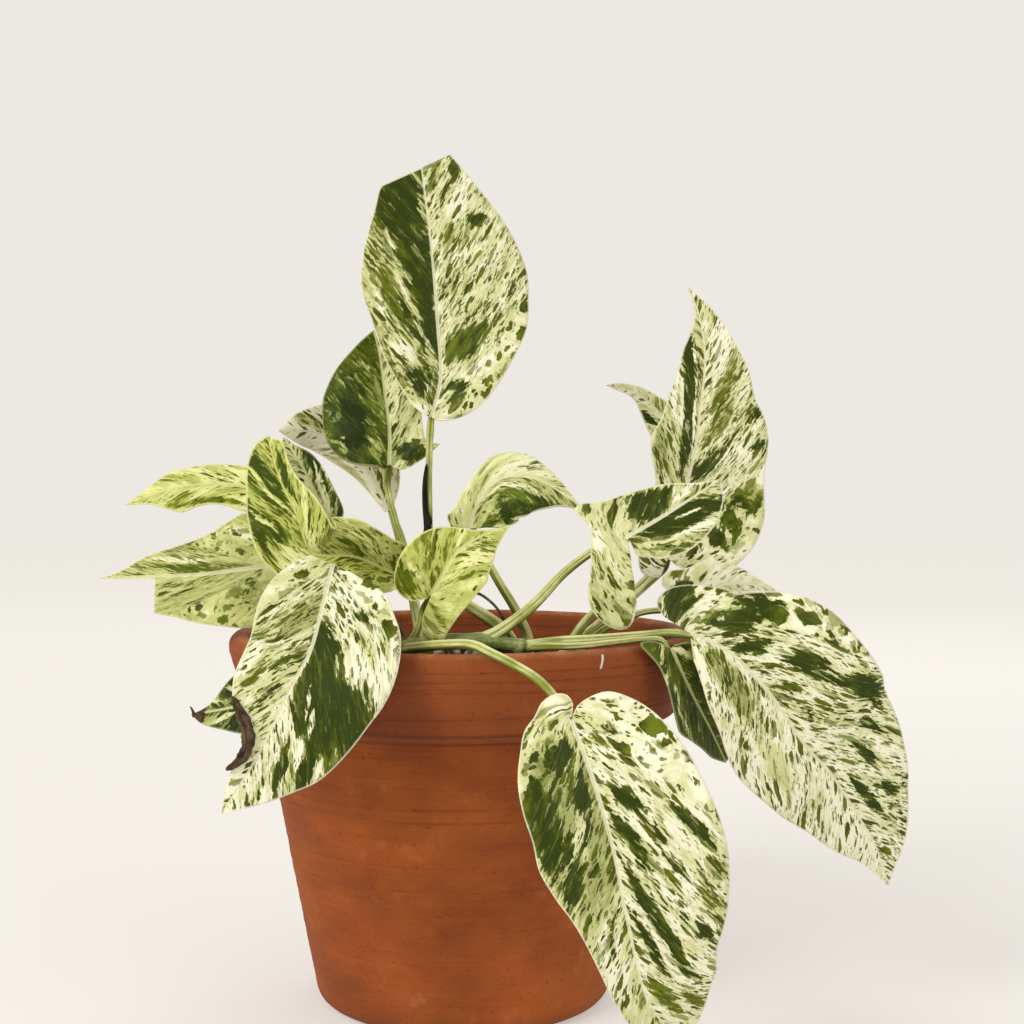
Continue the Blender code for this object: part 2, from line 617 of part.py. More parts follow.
def make_pot(collection, finish):
    outside = [
        (74.8, POT_HEIGHT),
        (77.7, POT_HEIGHT - 0.9),
        (79.1, POT_HEIGHT - 3),
        (RIM_RADIUS, POT_HEIGHT - 5.6),
        (COLLAR_FOOT_RADIUS + 0.4, COLLAR_FOOT_HEIGHT + 1.2),
        (COLLAR_FOOT_RADIUS - 1, COLLAR_FOOT_HEIGHT),
        (BODY_TOP_RADIUS, COLLAR_FOOT_HEIGHT - 0.4),
        (BASE_RADIUS + 0.4, 3),
        (BASE_RADIUS - 0.8, 0.9),
        (BASE_RADIUS - 2.6, 0),
    ]
    inside = [
        (DRAIN_RADIUS + 0.8, 0),
        (DRAIN_RADIUS, 0.8),
        (DRAIN_RADIUS, FLOOR),
        (inner_radius(FLOOR) - 3, FLOOR),
        (inner_radius(FLOOR + 3), FLOOR + 3),
        (inner_radius(COLLAR_FOOT_HEIGHT - 4), COLLAR_FOOT_HEIGHT - 4),
        (inner_radius(COLLAR_FOOT_HEIGHT) + 3, COLLAR_FOOT_HEIGHT + 4),
        (71.2, POT_HEIGHT - 6),
        (72.2, POT_HEIGHT - 1.8),
    ]
    pot = turned("pot", outside + inside, POT_STEPS, collection, closed=True)
    pot.data.materials.append(finish)


def soil_lump(x, y):
    """The height of the soil's lumps, as a formula of the place in millimetres."""
    slow = math.sin(0.11 * x + 0.4) * math.cos(0.13 * y - 0.9)
    quick = math.sin(0.27 * x - 0.31 * y + 1.7) + math.cos(0.24 * x + 0.29 * y)
    return SOIL_LUMP * (slow + 0.5 * quick)


def make_soil(collection, workshop, finish):
    edge = inner_radius(COLLAR_FOOT_HEIGHT) + 3.4
    wall = [
        (edge, SOIL_HEIGHT - 3),
        (inner_radius(COLLAR_FOOT_HEIGHT) + 2.4, COLLAR_FOOT_HEIGHT + 4),
        (inner_radius(COLLAR_FOOT_HEIGHT - 4) - CLEARANCE, COLLAR_FOOT_HEIGHT - 4),
        (inner_radius(FLOOR + 3) - CLEARANCE, FLOOR + 3 + CLEARANCE),
        (inner_radius(FLOOR) - 3 - CLEARANCE, FLOOR + CLEARANCE),
        (0, FLOOR + CLEARANCE),
    ]
    top = [(radius, SOIL_HEIGHT) for radius in (0, 11, 22, 33, 44, 54)]
    block = turned("soil_block", top + wall, SOIL_STEPS, collection, closed=False)
    soil = add_object("soil", solid_of(block), collection, finish)
    bpy.data.objects.remove(block)
    for vertex in soil.data.vertices:
        if vertex.co.z > (SOIL_HEIGHT - 1) * MM:
            vertex.co.z += soil_lump(vertex.co.x / MM, vertex.co.y / MM) * MM
    for name, vine in VINES.items():
        x, y, _ = vine["stem"][0]
        shape = bmesh.new()
        radius = (STEM_RADIUS + CLEARANCE) * MM
        bmesh.ops.create_cone(shape, cap_ends=True, segments=12, radius1=radius, radius2=radius,
                              depth=2 * HOLE_DEPTH * MM)
        bmesh.ops.translate(shape, verts=shape.verts, vec=(x * MM, y * MM, SOIL_HEIGHT * MM))
        mesh = bpy.data.meshes.new(name + "_hole")
        shape.to_mesh(mesh)
        shape.free()
        cutter = add_object(name + "_hole", mesh, workshop)
        cutter.hide_render = True
        cutter.display_type = "WIRE"
        cut = soil.modifiers.new(name, "BOOLEAN")
        cut.operation = "DIFFERENCE"
        cut.object = cutter


def main():
    for old in list(bpy.data.objects):
        bpy.data.objects.remove(old)
    plant = bpy.data.collections.new("potted_snow_queen_pothos")
    workshop = bpy.data.collections.new("cutters")
    bpy.context.scene.collection.children.link(plant)
    bpy.context.scene.collection.children.link(workshop)

    make_pot(plant, material("terracotta", TERRACOTTA, 0.85))
    make_soil(plant, workshop, material("potting_soil", EARTH, 0.95))
    for name, design in LEAVES.items():
        make_leaf(name, design, plant, material(name, design["color"], 0.45))
    for name, vine in VINES.items():
        make_vine(name, vine, plant, workshop, material(name, STEM_GREEN, 0.5))

    axis = bpy.data.objects.new("pot_axis", None)
    axis.location = [value * MM for value in POT_AXIS]
    for piece in list(plant.objects) + list(workshop.objects):
        piece.parent = axis
    plant.objects.link(axis)


main()
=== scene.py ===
"""The looks of a snow queen pothos in a clay pot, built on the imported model.

Lengths are millimetres round the pot's axis, as in the part's source, and are moved and
scaled to metres when a mesh is made. In the tables a comma ends a row, a bar ends a field,
and an empty line ends a leaf or a vine.
"""

import math

import bpy
import numpy as np
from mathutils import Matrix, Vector, noise


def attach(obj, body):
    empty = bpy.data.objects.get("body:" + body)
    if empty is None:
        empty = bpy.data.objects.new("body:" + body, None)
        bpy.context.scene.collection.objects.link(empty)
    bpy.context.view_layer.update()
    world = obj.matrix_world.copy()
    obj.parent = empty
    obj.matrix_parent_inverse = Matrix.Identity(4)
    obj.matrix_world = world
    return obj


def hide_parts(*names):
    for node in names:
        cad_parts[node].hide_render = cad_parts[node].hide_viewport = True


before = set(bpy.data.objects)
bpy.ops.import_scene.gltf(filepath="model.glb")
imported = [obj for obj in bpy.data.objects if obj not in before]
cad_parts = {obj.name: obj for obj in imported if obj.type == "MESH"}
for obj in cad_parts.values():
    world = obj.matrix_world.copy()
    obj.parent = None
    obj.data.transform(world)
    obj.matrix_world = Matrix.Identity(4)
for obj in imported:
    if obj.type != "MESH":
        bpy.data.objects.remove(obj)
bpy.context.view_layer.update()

MM = 0.001
POT_AXIS = np.array([-11.0, 16.0, 0.0])

# The leaves' shape, as in the part's source
CURVE_STEPS = 10
VEIN_LEAN = 0.5
SHORTEST_FAN = 0.1
AXIS_REACH = 0.03
WAVES = 2.5
WAVE_LAG = 0.37
WAVE_HEIGHT = 0.6
WAVE_WIDTH = 5.0
BLADE = 0.7
CLEARANCE = 0.3

# How fine the visible leaves are: for each of the part's rows so many, and so many columns in
# each half, which crowd towards the midrib
ROWS = 14
FINER_ROWS = 5
COLUMNS = 26
CROWDING = 1.4

# Where the side veins run: along the midrib for each millimetre out, in all and in some
# leaves, the radius of their fan at the base, and the distance between them
LEAN = 1.25
LEANS = {"leaf_left_lower": 2.8, "leaf_left_upper": 2.0, "leaf_arching": 2.2,
         "leaf_twisted": 1.7, "leaf_tall_right": 1.6}
FAN_RADIUS = 26.0
VEIN_SPACING = 6.5

# The height of the quilting between them, and that of the broader swells and their size
QUILT_HEIGHT = 0.35
SWELL_HEIGHT = 1.1
SWELL_SIZE = 11.0

# Each leaf's name and the rows of its fan | its midrib | the way its face looks, from base to
# tip | for the left half, its fold at the base and the tip and its curl there, in degrees and
# degrees for each centimetre out | its margin, as places along the midrib and out from it,
# with a star at a corner | both again for the right half | its palette, and how much of the
# left half and the right is pale green and dark green | its patches: the kind, the place along
# the midrib and out from it (left of it is negative), the half length and half width, and how
# many degrees it leans from the midrib.
LEAF_TABLE = """
leaf_top 5 | -11 2 196, -8 3 209, -9 4 228, -11 3 253, -14 -3 280 | 0.1 -1 0.15, 0.05 -1 -0.1
| 12 6 -6 -4 | 0 2, 1 5, 7 13, 18 18, 33 22, 47 25, 60 23, 74.5 17.3, 81 14.8 *
| 12 6 -6 -4 | -0.6 2, 0.2 5.5, 2 9, 5 12.4, 10 17, 17 23, 27 30, 39 32, 48 32, 62 27, 77 18, 90 9.3 *
| cream 0.8 0.25 0.25 -0.02 | S 76 -10 17 12 4, S 56 -5 22 8 6, S 34 -3 17 3.6 10, O 47 -15 17 6 14,
o 68 -18 7 2 15, g 48 -23 16 2 12, c 62 -13.5 8 0.5 16, c 45 -11 9 0.7 20, c 24 -13 7 5 40,
D 34 -9 12 2.6 22, c 40 -19 10 0.8 16, c 30 -6 8 0.5 30, D 12 -7 7 7 10, d 16 -14 9 3 -20,
c 9 -4 3 1.4 60, c 2 -4 5 2.5 90, M 25 9 12 6 52, D 12 6 5 2.4 78, d 45 5 8 4 35, d 36 13 8 2 48,
d 45 11 6 2 50, M 66 17 4 3 80, o 62 5 7 2.6 18, o 60 11 6 2.6 20, o 83 4 9 3.4 12, M 84 10.5 4 2 0,
o 73 21 5 2 20, d 43 26 5 1.8 30, o 17 21 8 2.4 60, c 73 12 10 3 25, c 17 12 10 1.6 60

leaf_dark_upper 5 | -27 22 180, -27 24 192, -29 27 206, -31 28 220, -33 27 228 | -0.1 -1 0.15,
-0.1 -1 0
| 10 5 -6 -4 | -2 1.6, -1 5, 0 13, 4 20, 10 23, 25 23, 32 20, 39 15, 45 8
| 10 5 -6 -4 | -1 1.4, -2 5, 1 11, 5 16, 7 18.5 *, 8 13.5, 15 12, 24 14, 35 11.5, 43 7
| deep 0.7 0.75 0.1 -0.2 | O 26 -3.5 17 4.5 4, g 24 -2 12 1.2 4, c 39 -6 6 1.1 20, c 12 -15.5 9 0.8 -14,
c 9 -7 8 0.7 40, D 16 -13 17 8 5, c 28 3 22 3.4 4, D 33 9 10 4 0, D 4 9 5 11 10, O 44 -9 6 3 40

leaf_pale_upper 2 | -29 42 163, -35 42 176, -45 40 187, -56 37 192, -68 33 192 | -0.3 -1 -0.35,
-0.2 -1 -0.35
| -14 -8 5 4 | 0 1.6, 6 4, 15 7, 30 9, 44 7
| -14 -8 5 4 | 0 2, 8 8, 17 13, 27 15, 34 13, 41 11, 50 5
| cream -0.4 -0.5 -0.35 -0.4 | o 44 4 9 3 20, o 36 10 8 2.4 10, g 20 -6 16 2 8, o 12 2 10 1.2 10

leaf_twisted 5 | -22 -24 144, -34 -32 150, -47 -37 152, -52 -36 164, -58 -31 175,
-63 -24 189 | 0 -1 0.5, -0.1 -1 0.1, -0.2 -1 0.1
| 38 22 -8 -6 | -1 2, 2 9, 10 12.4, 22 12.4, 29 13, 33 15, 37 16, 48 15, 56 11.5, 65 8, 71 4.3
| 30 24 -8 -6 | -2.5 6, 0 10, 7 10, 13 11, 18 12.4, 30 12.6, 43 9.6, 49 7.5, 61 5.5, 68 5
| fresh 0.6 0.05 0.4 -0.25 | D 57 -5 17 5.5 12, D 42 -10 11 4.5 20, c 31 -7 5 8 0, D 47 -14 17 3.4 4,
c 50 -4 12 0.8 22, c 43 -10 8 0.8 30, c 60 -7 8 0.7 20, D 56 2.6 14 2.2 0, c 36 3 11 2.6 8,
o 22 4 14 2.6 14, o 12 -4 12 3 14, g 24 -8 8 3 30, o 32 10 12 2 0

leaf_streaked 2 | -42 -20 158, -47 -20 168, -52 -18 178, -59 -16 189 | 0.25 -1 0.1, 0.25 -1 0.1
| 5 5 0 0 | 0 2, 4 6, 12 8, 22 7, 31 4
| -10 -5 -6 -4 | 0 1.6, 4 6, 13 6.5, 20 6.3, 26 5, 32 1.5
| deep 0.1 0.1 0.1 0.3 | c 17 -1.5 15 3 5, D 21 -5 12 2.4 10, D 22 4 12 2.6 0, c 14 2.5 12 1.4 10,
c 24 6.5 9 1 4, c 26 -7 8 1 14

leaf_left_upper 5 | -68 8 170, -82 10 173, -99 11 172, -118 12 166 | -0.1 -1 0.9, -0.1 -1 0.6
| 14 6 -5 -4 | -2 3, -1 9, 4 11, 14 10.6, 23 10.4, 30 11.6, 37 8, 44 3.3
| 14 6 -5 -4 | 0 2, 3 6, 9 7.5, 16 8, 22 8, 29 7, 35 6, 41 4
| fresh 0.1 -0.6 -0.1 -0.7 | O 20 -8.8 19 2.2 0, o 32 -6 9 2.6 15, c 20 1 18 4 10, d 12 7 6 1.2 0,
g 30 3 10 1.6 20, g 14 -4 9 1.6 25

leaf_left_lower 5 | -61 -26 147, -69 -26 146, -84 -24 144, -102 -20 143, -120 -16 142 | -0.1 -1 0.6,
-0.1 -1 0.5
| -30 -15 3 2 | -1 11, 4 18, 12 19, 18 18, 26 16, 34 13.4, 41 12 *, 40.7 1 *
| 16 8 -6 -4 | -2 10, 3 18, 9 19, 13 17.5, 19 15, 28 12, 37 9, 46 6, 53 2.5
| marbled 0.4 -0.75 0.8 -0.3 | g 18 -8 30 14 0, g 6 8 22 12 0, o 16 -13.5 3.4 2.4 30, O 25 2 22 2.4 3,
o 20 7.5 15 2.6 6, c 32 5 14 1.2 4, o 9 -6 9 1.4 48, o 30 -3 12 1.2 5, c 10 12 8 2 30

leaf_front_left 3 | -38 -58 149, -40 -73 135, -42 -82 125, -46 -87 117, -55 -90 98,
-67 -86 79 | -0.05 -1 0.6, -0.1 -1 0.1, -0.15 -1 -0.1
| 12 6 -6 -4 | 11 16.3, 15 19.5, 20 22.3, 27 25.3, 37 26.7, 49 25, 57 22.7, 65 19, 71 14, 79 8
| 12 6 -6 -4 | -2 7, 1 11.5, 7 16, 16 18.5, 31 18.3, 43 17, 50 16.4, 56 14 *, 57 10, 60 6, 65 3, 69 2.3,
75 4.6 *, 80 3.3, 85 1.8
| cream -0.1 -0.12 0.3 -0.14 | D 34 -5 16 7 28, S 48 -16 14 13 60, S 47 -7 15 9 20, S 56 -19 8 7 60,
D 63 -14 9 3.4 18, O 60 -20 6 4 30, D 66 -7.5 9 2.4 14, o 70 -12 7 2 18, d 78 -6 7 1.6 15,
c 53 -10 6 1 15, c 48 -6.5 6 0.6 18, c 61 -10.5 6 1.6 15, c 62 -17 3.6 1 15, D 22 -13 4 2 55,
d 29 -21 4 1.4 50, d 30 -15 9 1.3 55, d 52 5 9 2.4 22, d 38 4 12 3 25, o 46 11 8 1.6 30, G 22 5 14 6 25,
o 30 14 10 2 35, c 76 1 10 4 0, c 45 15 8 3 10, d 8 6 6 1.4 50

leaf_under_rim 5 | -46 -72 113, -58 -66 109, -71 -58 105, -83 -50 102 | -0.4 -1 0.4, -0.5 -1 0.3
| 10 5 -6 -4 | -1 2, 0 7, 9 10, 22 9, 30 6.5, 39 3.5
| 10 5 -6 -4 | -1 2, 1 7, 10 11.5, 24 10, 33 4, 39 1.2
| deep 0.5 0.3 0.5 0.35 | D 20 -4 18 7 6, D 26 6 12 5 10, D 8 5 7 4 40, c 31 -3 8 1.1 12,
c 24 5 10 0.9 15, c 10 -5 7 1 30, c 34 3 6 0.7 8, x 43 -1 6 9 0, x 43 1 6 9 0

leaf_centre 7 | -8 -57 140, -4 -59 147, 0 -58 153, 6 -54 157, 16 -48 161 | 0 -1 0.5, 0.2 -1 0.4
| 12 6 -7 -5 | -2 0.5, -5 4, -5.6 8, -4.6 11, -2 13, 2 14, 8 14, 13 12.7, 19.5 7.2, 23.5 3.3, 29 0.8
| 12 6 -7 -5 | -7 1, -10.3 2.6, -12 5.5, -11 10.5, -6 11, 0 11.5, 8 12.4, 13 13, 22 9.7, 28 5.4
| fresh 0.6 -0.1 0.25 -0.5 | O -1 -9 6 6 70, o 11 -9 9 4.5 40, o 12 -3 9 1.6 20, c 20 6 12 3.6 18,
o 12 8 9 1.3 40, o -4 6 7 1.6 110, c 21 -4 7 1.4 30, o 24 3 8 0.9 12, c 4 -8 5 1 70

leaf_arching 2 | 3 -28 159, 6 -30 168, 13 -31 175, 24 -31 175, 33 -30 170, 41 -29 164 | -0.5 -1 0.5,
-0.1 -1 0.7, 0.1 -1 0.6
| 10 5 -6 -4 | -2 7, 1 9, 5.5 7, 9 7, 12 7, 17 8, 20 9, 25 8.7, 29 7.6, 33 5.7, 39 3.5, 46 0.8
| 10 5 -6 -4 | 5 12, 11 16, 22 17.5, 30 15, 38 9, 42 5, 47 1.7
| marbled 0.2 -0.6 0.6 0.05 | S 24 12 17 8 -4, D 36 8 9 4.5 -24, O 22 8 15 4 4, c 25 4 15 1.5 8,
o 9 9 6 2.4 60, o 33 3.5 9 1.4 10, c 30 -4 14 4 5, g 14 -3 8 1.6 14

leaf_pointing_right 9 | 53 -42 157, 62 -41 162, 72 -38 168, 83 -34 175 | 0.1 -1 0.45, 0.1 -1 0.45
| 0 6 0 -4 | -9 -20.5, -13 -24.5, -16.5 -24.5, -20.5 -20, -21.6 -14, -20 -9.5, -16 -4, -13 1, -10 6,
-9 10.5, -10.5 15.7, -8 16.8, -1 14, 8 12.4, 19 9, 28 3.5
| 16 6 -6 -4 | -1 7.5, 4 11.6, 10 14, 14 14.3, 22 12.6, 29 9, 33 5.3
| cream 0.6 -0.02 0.65 0 | D 11.5 -5.5 11 7 4, S 18 4.2 18 6 6, c 21 4 8 0.5 10, D 27 6 7 2 4,
c 19 9.5 12 1.6 8, d 10 11 7 1.3 30, O -11 13 9 3.4 129, o -17 10 6 5 40, c -8.5 14.5 7 1.2 110,
c -9 -3 5 2.4 60, d -17 -13 5 2 70, O -18 -18 6 4 0, d -13 -19 4 1.6 20, d 1 -10 3 1.6 60,
c 26 -3 9 1.6 5

leaf_tall_right 5 | 71 12 147, 75 13 161, 78 14 174, 81 16 187, 83 19 201, 85 23 217, 83 25 233,
79 24 243 | 0 -1 0.2, 0 -1 -0.1
| 14 8 -6 -4 | -7 1, -8 4, -7 8, -2 10.5, 10 12, 26 11.5, 34 15, 41 16, 49 13.4, 56 12, 65 10, 76 8,
84 4, 89 1.6
| 14 8 -6 -4 | -1.5 4, -2.6 12.5, 1 20.5, 7 25, 13 27.7, 21 28.6, 29 27, 38 25.3, 46 25, 54 22.5,
61 18.5, 68 16, 76 11.7, 85 7.5, 93 3.6
| cream 0.5 -0.1 0.2 -0.05 | D 44 -3.6 20 3.2 2, D 66 -5 24 4.4 2, c 50 -1.8 12 0.6 4,
c 70 -3.4 12 0.7 6, c 56 -7 14 0.8 6, G 38 -12 11 3 10, D 35 6 12 3.4 34, O 50 7 16 4 24,
O 64 8 14 3 20, d 56 16 9 3 24, D 55 19.5 6 2 20, D 44 21 5 2.2 50, O 25 21 10 7 50, d 19 19 7 11 80,
D 11 14 3 9 24, c 4 14 5 12 0, d 5 17 3 1.4 80, c 78 6 13 3.6 12, c 40 14 9 4 48, c 60 -10 20 1.3 5,
c -4 -5 8 7 60

leaf_behind_right 5 | 86 48 178, 76 46 193, 64 44 205, 51 40 209 | -0.3 -1 0.5, -0.2 -1 0.4
| 14 6 -5 -4 | 0 6, 4 8, 11 9, 22 8.3, 32 5, 39 2, 45 0.8
| 14 6 -5 -4 | 3 6.5, 7 9, 13 10, 21 9, 27.6 5, 33 3.6, 39 2.8, 45.6 1.9
| cream 0.4 -0.2 0.3 -0.3 | D 30 -5 9 1.8 10, d 18 -5 8 1.6 20, O 22 4 9 1.8 14, c 36 -1 9 1.4 0

leaf_under_tall 5 | 78 0 134, 86 0 138, 94 1 139, 107 2 137 | 0 -1 0.8, 0.1 -1 0.8
| 10 5 -5 -4 | -5 5, -6.7 9.4, -3.5 13, 4 11, 12 8.6, 18 7, 24 3
| 10 5 -5 -4 | -3 5, 3 9, 11 11, 20 9, 26 4
| cream -0.1 -0.7 0.1 -0.4 | D -1 -5 5 4.6 0, O 8 6 7 4 40, c 14 -4 10 3 10, O 0 -11 5 2.6 0

leaf_big_right 5 | 72 -46 127, 83 -51 122, 95 -53 110, 107 -52 93, 116 -49 83, 124 -45 71, 131 -41 60,
137 -36 45 | -0.1 -1 0.5, 0 -1 0.15, 0.1 -1 0.1
| 12 6 -6 -4 | -10 1.6, -13 3.5, -14 6, -12.5 10, -9 13, -3.5 15.7, 3 17.5, 8 17.4 *, 11 21.6, 19 29,
26 32, 34 32.5, 41 33, 52 32, 62 28.6, 71 24.5, 80 21, 88 16, 95 11, 103 5
| 12 6 -6 -4 | 6 8.5, 11 12.5, 19.5 17, 30 20, 39 22, 46 23, 54 21.5, 66 20, 77 16, 90 11, 100.5 5
| cream 0 0.05 -0.05 -0.15 | S -8 -9 6 11 20, c 1 -10 3 7 0, D 11 -13 5 14 0, D 14 -17 11 2.4 74,
D 18 -7 9 2.2 66, D 31 -15 9 4.4 46, D 50 -26 12 6 0, D 42 -21 6 2.6 40, d 52 -12 12 2.2 32,
d 43 -6 10 1.8 34, d 33 -5 8 1.5 40, D 60 -19 6 1.6 24, D 66 -13 5 2 20, D 80 -13 6 2.6 6,
D 78 -5.5 13 2.4 10, c 71 -20 12 3 20, c 24 -23 9 3 50, c 60 -3 24 1.5 0, G 22 7 17 6 14,
d 30 4 12 1.6 30, O 12 6 7 2.6 50, d 20 9 9 1.4 40, g 50 11 9 5 20, d 40 10 8 1.2 30, c 86 4 22 8 0,
c 40 20 24 2 0, O 3 -6 6 1.4 80

leaf_dark_right 5 | 66 -49 122, 72 -47 109, 79 -41 96, 85 -34 84 | 0.62 -0.78 0.1, 0.62 -0.78 0.1
| 12 6 -5 -4 | -1 2, 1 7, 6 11, 20 12.5, 34 10.5, 44 4
| 14 6 0 0 | -2 1.5, -6 6, -8.4 12.7, -4 11.4, 0 10, 5 9.6, 10 9.9, 16 11.5, 20 12.7, 25 10.5, 31 8,
38 5
| deep 0.5 0.9 0.5 0.95 | O 13 6 8 2.6 14, c 12 7 5 1.2 10, O 3 4 8 3 30, c 20 -11 16 1.6 5,
O -3 10 5 3.4 40, c -2 6 6 1.2 50, c 3 -4 6 1.4 40, c 5 9 5 0.9 30, c 20 9.5 9 0.9 6, o 6 -8 6 2.4 30

leaf_front_hanging 5 | 33 -97 108, 38 -103 95, 44 -108 75, 48 -110 55, 54 -108 32,
64 -103 18 | -0.05 -1 0.3, 0 -1 0, 0 -1 -0.15
| 12 6 -6 -4 | -1 1.2, -2.7 3, -3.7 8, -3 13, 2 19, 8 23, 16 26.5, 24 28.5, 33 30, 41 30.7, 49 30,
58 28, 65 25, 70 22.5, 81 20, 90 14, 95.5 6.7
| 12 6 -6 -4 | -1.6 -1, -4.5 -2.2, -7.4 -1.2, -8.4 2, -7.4 6, -4 9.5, -1 13.5, 4.5 16.7, 12 20, 21 21.3,
30 21, 39 21.2, 47.5 18.4, 55 14.5, 64 11.7, 71 10, 79 8.6, 88 7
| cream 0 -0.12 0.5 -0.15 | D 58 -8 21 2.6 21, D 74 -13 11 2 20, O 82 -4.5 11 3 12, D 66 -5 13 1.5 16,
O 57 -24 7 2.8 30, O 47 -27 5 2 30, D 64 -20 5 2 30, D 36 -23 8 2.2 42, D 25 -7.5 8 2.6 40,
D 35 -12 7 1.6 36, D 34 -5 9 1.8 32, D 41 -7 7 1.5 30, D 45 -16 6 1.4 34, d 49 -22 6 1.4 36,
O 88 -12 7 2.4 20, d 13 -14 6 1.4 66, d 6 -8 6 1.6 76, O 9 -4 5 1.2 60, c 20 -20 12 3 40,
c 70 -9 12 0.8 20, c 78 -18.5 12 1.6 8, G 30 9 32 18 3, G 27 9 28 16 3, S 26 17 17 6.5 4, D 9 7 7 6 40,
D 40 12 14 4.5 14, D 24 5 14 3 14, d 34 9 12 2 14, c 68 6 14 6 0, c -5 3 4 5 90, d 60 5 9 1.2 10
"""

# The colours of the cream, pale green, olive, mid green and dark green parts, on a screen
PALETTES = {
    "cream": ((247, 243, 214), (208, 210, 144), (152, 158, 88), (106, 117, 20), (48, 60, 2)),
    "fresh": ((238, 238, 164), (184, 191, 92), (136, 146, 52), (106, 119, 16), (60, 75, 4)),
    "marbled": ((242, 240, 196), (200, 204, 126), (146, 155, 78), (102, 117, 18), (46, 62, 4)),
    "deep": ((230, 229, 176), (154, 162, 80), (114, 127, 46), (90, 104, 16), (36, 50, 2)),
}
# What each kind of patch leads to: its pale share, its dark share and its tone
KINDS = {
    "D": (0.8, 1.0, 0.5), "S": (0.8, 1.4, 0.55), "M": (0.8, 1.4, 0.15), "d": (0.6, 0.4, 0.2),
    "O": (1.0, 0.6, -0.2), "o": (0.8, 0.3, -0.25), "g": (0.8, -0.6, 0.0), "G": (1.25, 0.12, 0.1),
    "c": (-0.3, -0.35, 0.1), "x": (0, 1.5, 3),
}

# Each vine's name | its stem's route | each petiole's leaf, its width at the start and at the
# leaf | its route
VINE_TABLE = """
vine_front | -28 -30 95, -28 -30 103, -28 -31 111, -22 -44 120, -10 -53 124.5, 7 -56 125.5,
20 -55 123.5
| leaf_front_hanging 3.4 2.4 | -17 -48 122, -13 -61 124, -4 -71 126, 5 -77 126.6, 11 -82 124.5,
17 -86 122, 24 -89 118, 29 -92 113
| leaf_pointing_right 3.8 2.4 | 7 -56 125.5, 12 -55 128, 22 -50 135, 34 -37 146, 44 -36 153
| leaf_big_right 3.2 2.4 | 20 -55 123.5, 31 -52 125, 41 -50 125.4, 56 -47 126.3, 66 -45 126.9
| leaf_dark_right 2.4 1.6 | 20 -55 123.5, 38 -56 124.2, 50 -53.8 125.2, 58 -51 125.6, 63 -48.6 125
| leaf_centre 2.4 1.6 | -16 -49 122.5, -13 -50 128, -11 -50 135

vine_middle | 20 -32 95, 20 -32 103, 20 -32 110, 19 -35 118
| leaf_twisted 4.4 2.6 | 19 -35 117, 14 -41 127, 2 -35 135, -8 -23 139, -16 -18 142
| leaf_arching 3.6 2.2 | 20 -33 112, 22 -26 122, 18 -27 132, 12 -27 142, 6 -25 153

vine_right | 34 -14 95, 34 -14 103, 34 -14 110, 33 -17 117
| leaf_tall_right 3.2 2.2 | 33 -17 116, 43 -9 129, 56 4 133, 64 14 138, 70 18 143
| leaf_behind_right 3.2 2.2 | 34 -14 113, 40 -7 121, 47 1 126, 64 24 139, 79 42 154, 87 54 167
| leaf_under_tall 2.6 2 | 35 -13 113, 46 -5 123, 61 3 129, 71 5 130

vine_back | -14 8 95, -14 8 103, -14 8 110, -15 9 120
| leaf_top 3.4 2.2 | -14 8 112, -12 3 127, -12 2 158, -12 2.5 178
| leaf_dark_upper 3 2.2 | -15 9 117, -19 15 136, -22 20 152, -25 23 160, -28 26 173
| leaf_pale_upper 2.8 2 | -15 9 118, -18 24 132, -23 36 145

vine_left | -38 -12 95, -38 -12 103, -38 -12 110, -38 -13 119
| leaf_front_left 3.2 2.4 | -38 -13 118, -38 -22 127, -37 -40 134, -37 -52 142
| leaf_left_lower 3 2.2 | -38 -12 116, -49 -14 131, -56 -18 140
| leaf_left_upper 3 2 | -38 -12 114, -45 -3 130, -54 5 152
| leaf_streaked 2.6 1.8 | -38 -12 118, -38 -13 138
| leaf_under_rim 2.2 1.6 | -38 -12 110, -35 -34 117, -35 -52 122.5, -36 -62 126, -37.5 -69.5 126,
-40 -74 122.5
"""
STEM_RADIUS = 3.0
# Where a petiole runs on under the midrib: how far along it, and how far beneath
KEEL_PLACES = ((2.5, 0.8), (6.0, 0.5), (10.0, 0.3))
# Each aerial root's radius at its start | its route
ROOT_TABLE = """
0.5 | -6 -47 127, -1 -47 136, 5 -46.5 139.5, 9 -46 137.5, 13 -46 133, 16 -44 124, 17 -41 107
0.6 | -20 -46 121, -23 -44 130, -25 -39 134, -27 -34 126, -29 -31 106
0.6 | -15 -50 122, -19 -51 130, -24 -50 133, -29 -47 127, -31 -44 107
0.7 | -24 -42 118, -20 -37 124, -15 -33 121, -12 -32 107
0.6 | 19 -34 115, 24 -37 117, 27 -40 112, 28 -41 105
0.6 | 34 -15 113, 38 -17 115, 41 -19 111, 42 -20 105
0.7 | -14 9 117, -9 12 119, -6 14 113, -5 15 105
0.6 | -15 8 115, -19 5 117, -23 4 112, -24 4 105
0.6 | -39 -13 116, -45 -16 117, -48 -18 111, -49 -18 105
0.7 | 4 -56 124, 3 -58 120, 1 -57 113, 0 -56 105
"""
# The bitten leaf's dead edge along its midrib and out, the hooked tip of the leaf under the
# rim, and the dried strip and sleeve on the top leaf's petiole
BITTEN_EDGE = "55.2 14, 58 10.6, 61 6.8, 65 4.1, 69 3.3, 73 4.1, 76 5.6"
HOOK = """-81.8233 -50.6136 101.3621, -82.3782 -50.4735 103.0649, -82.8613 -50.1586 103.9519,
-83.3894 -49.6635 104.4563"""
STRIP = "-12.8 1.3 152, -12.9 1.2 160, -13.2 1.1 166, -13.3 1.1 173, -12.7 1.3 180"
SLEEVE = "-12.3 1.6 150, -12.3 1.5 158, -12.2 1.6 163.5"

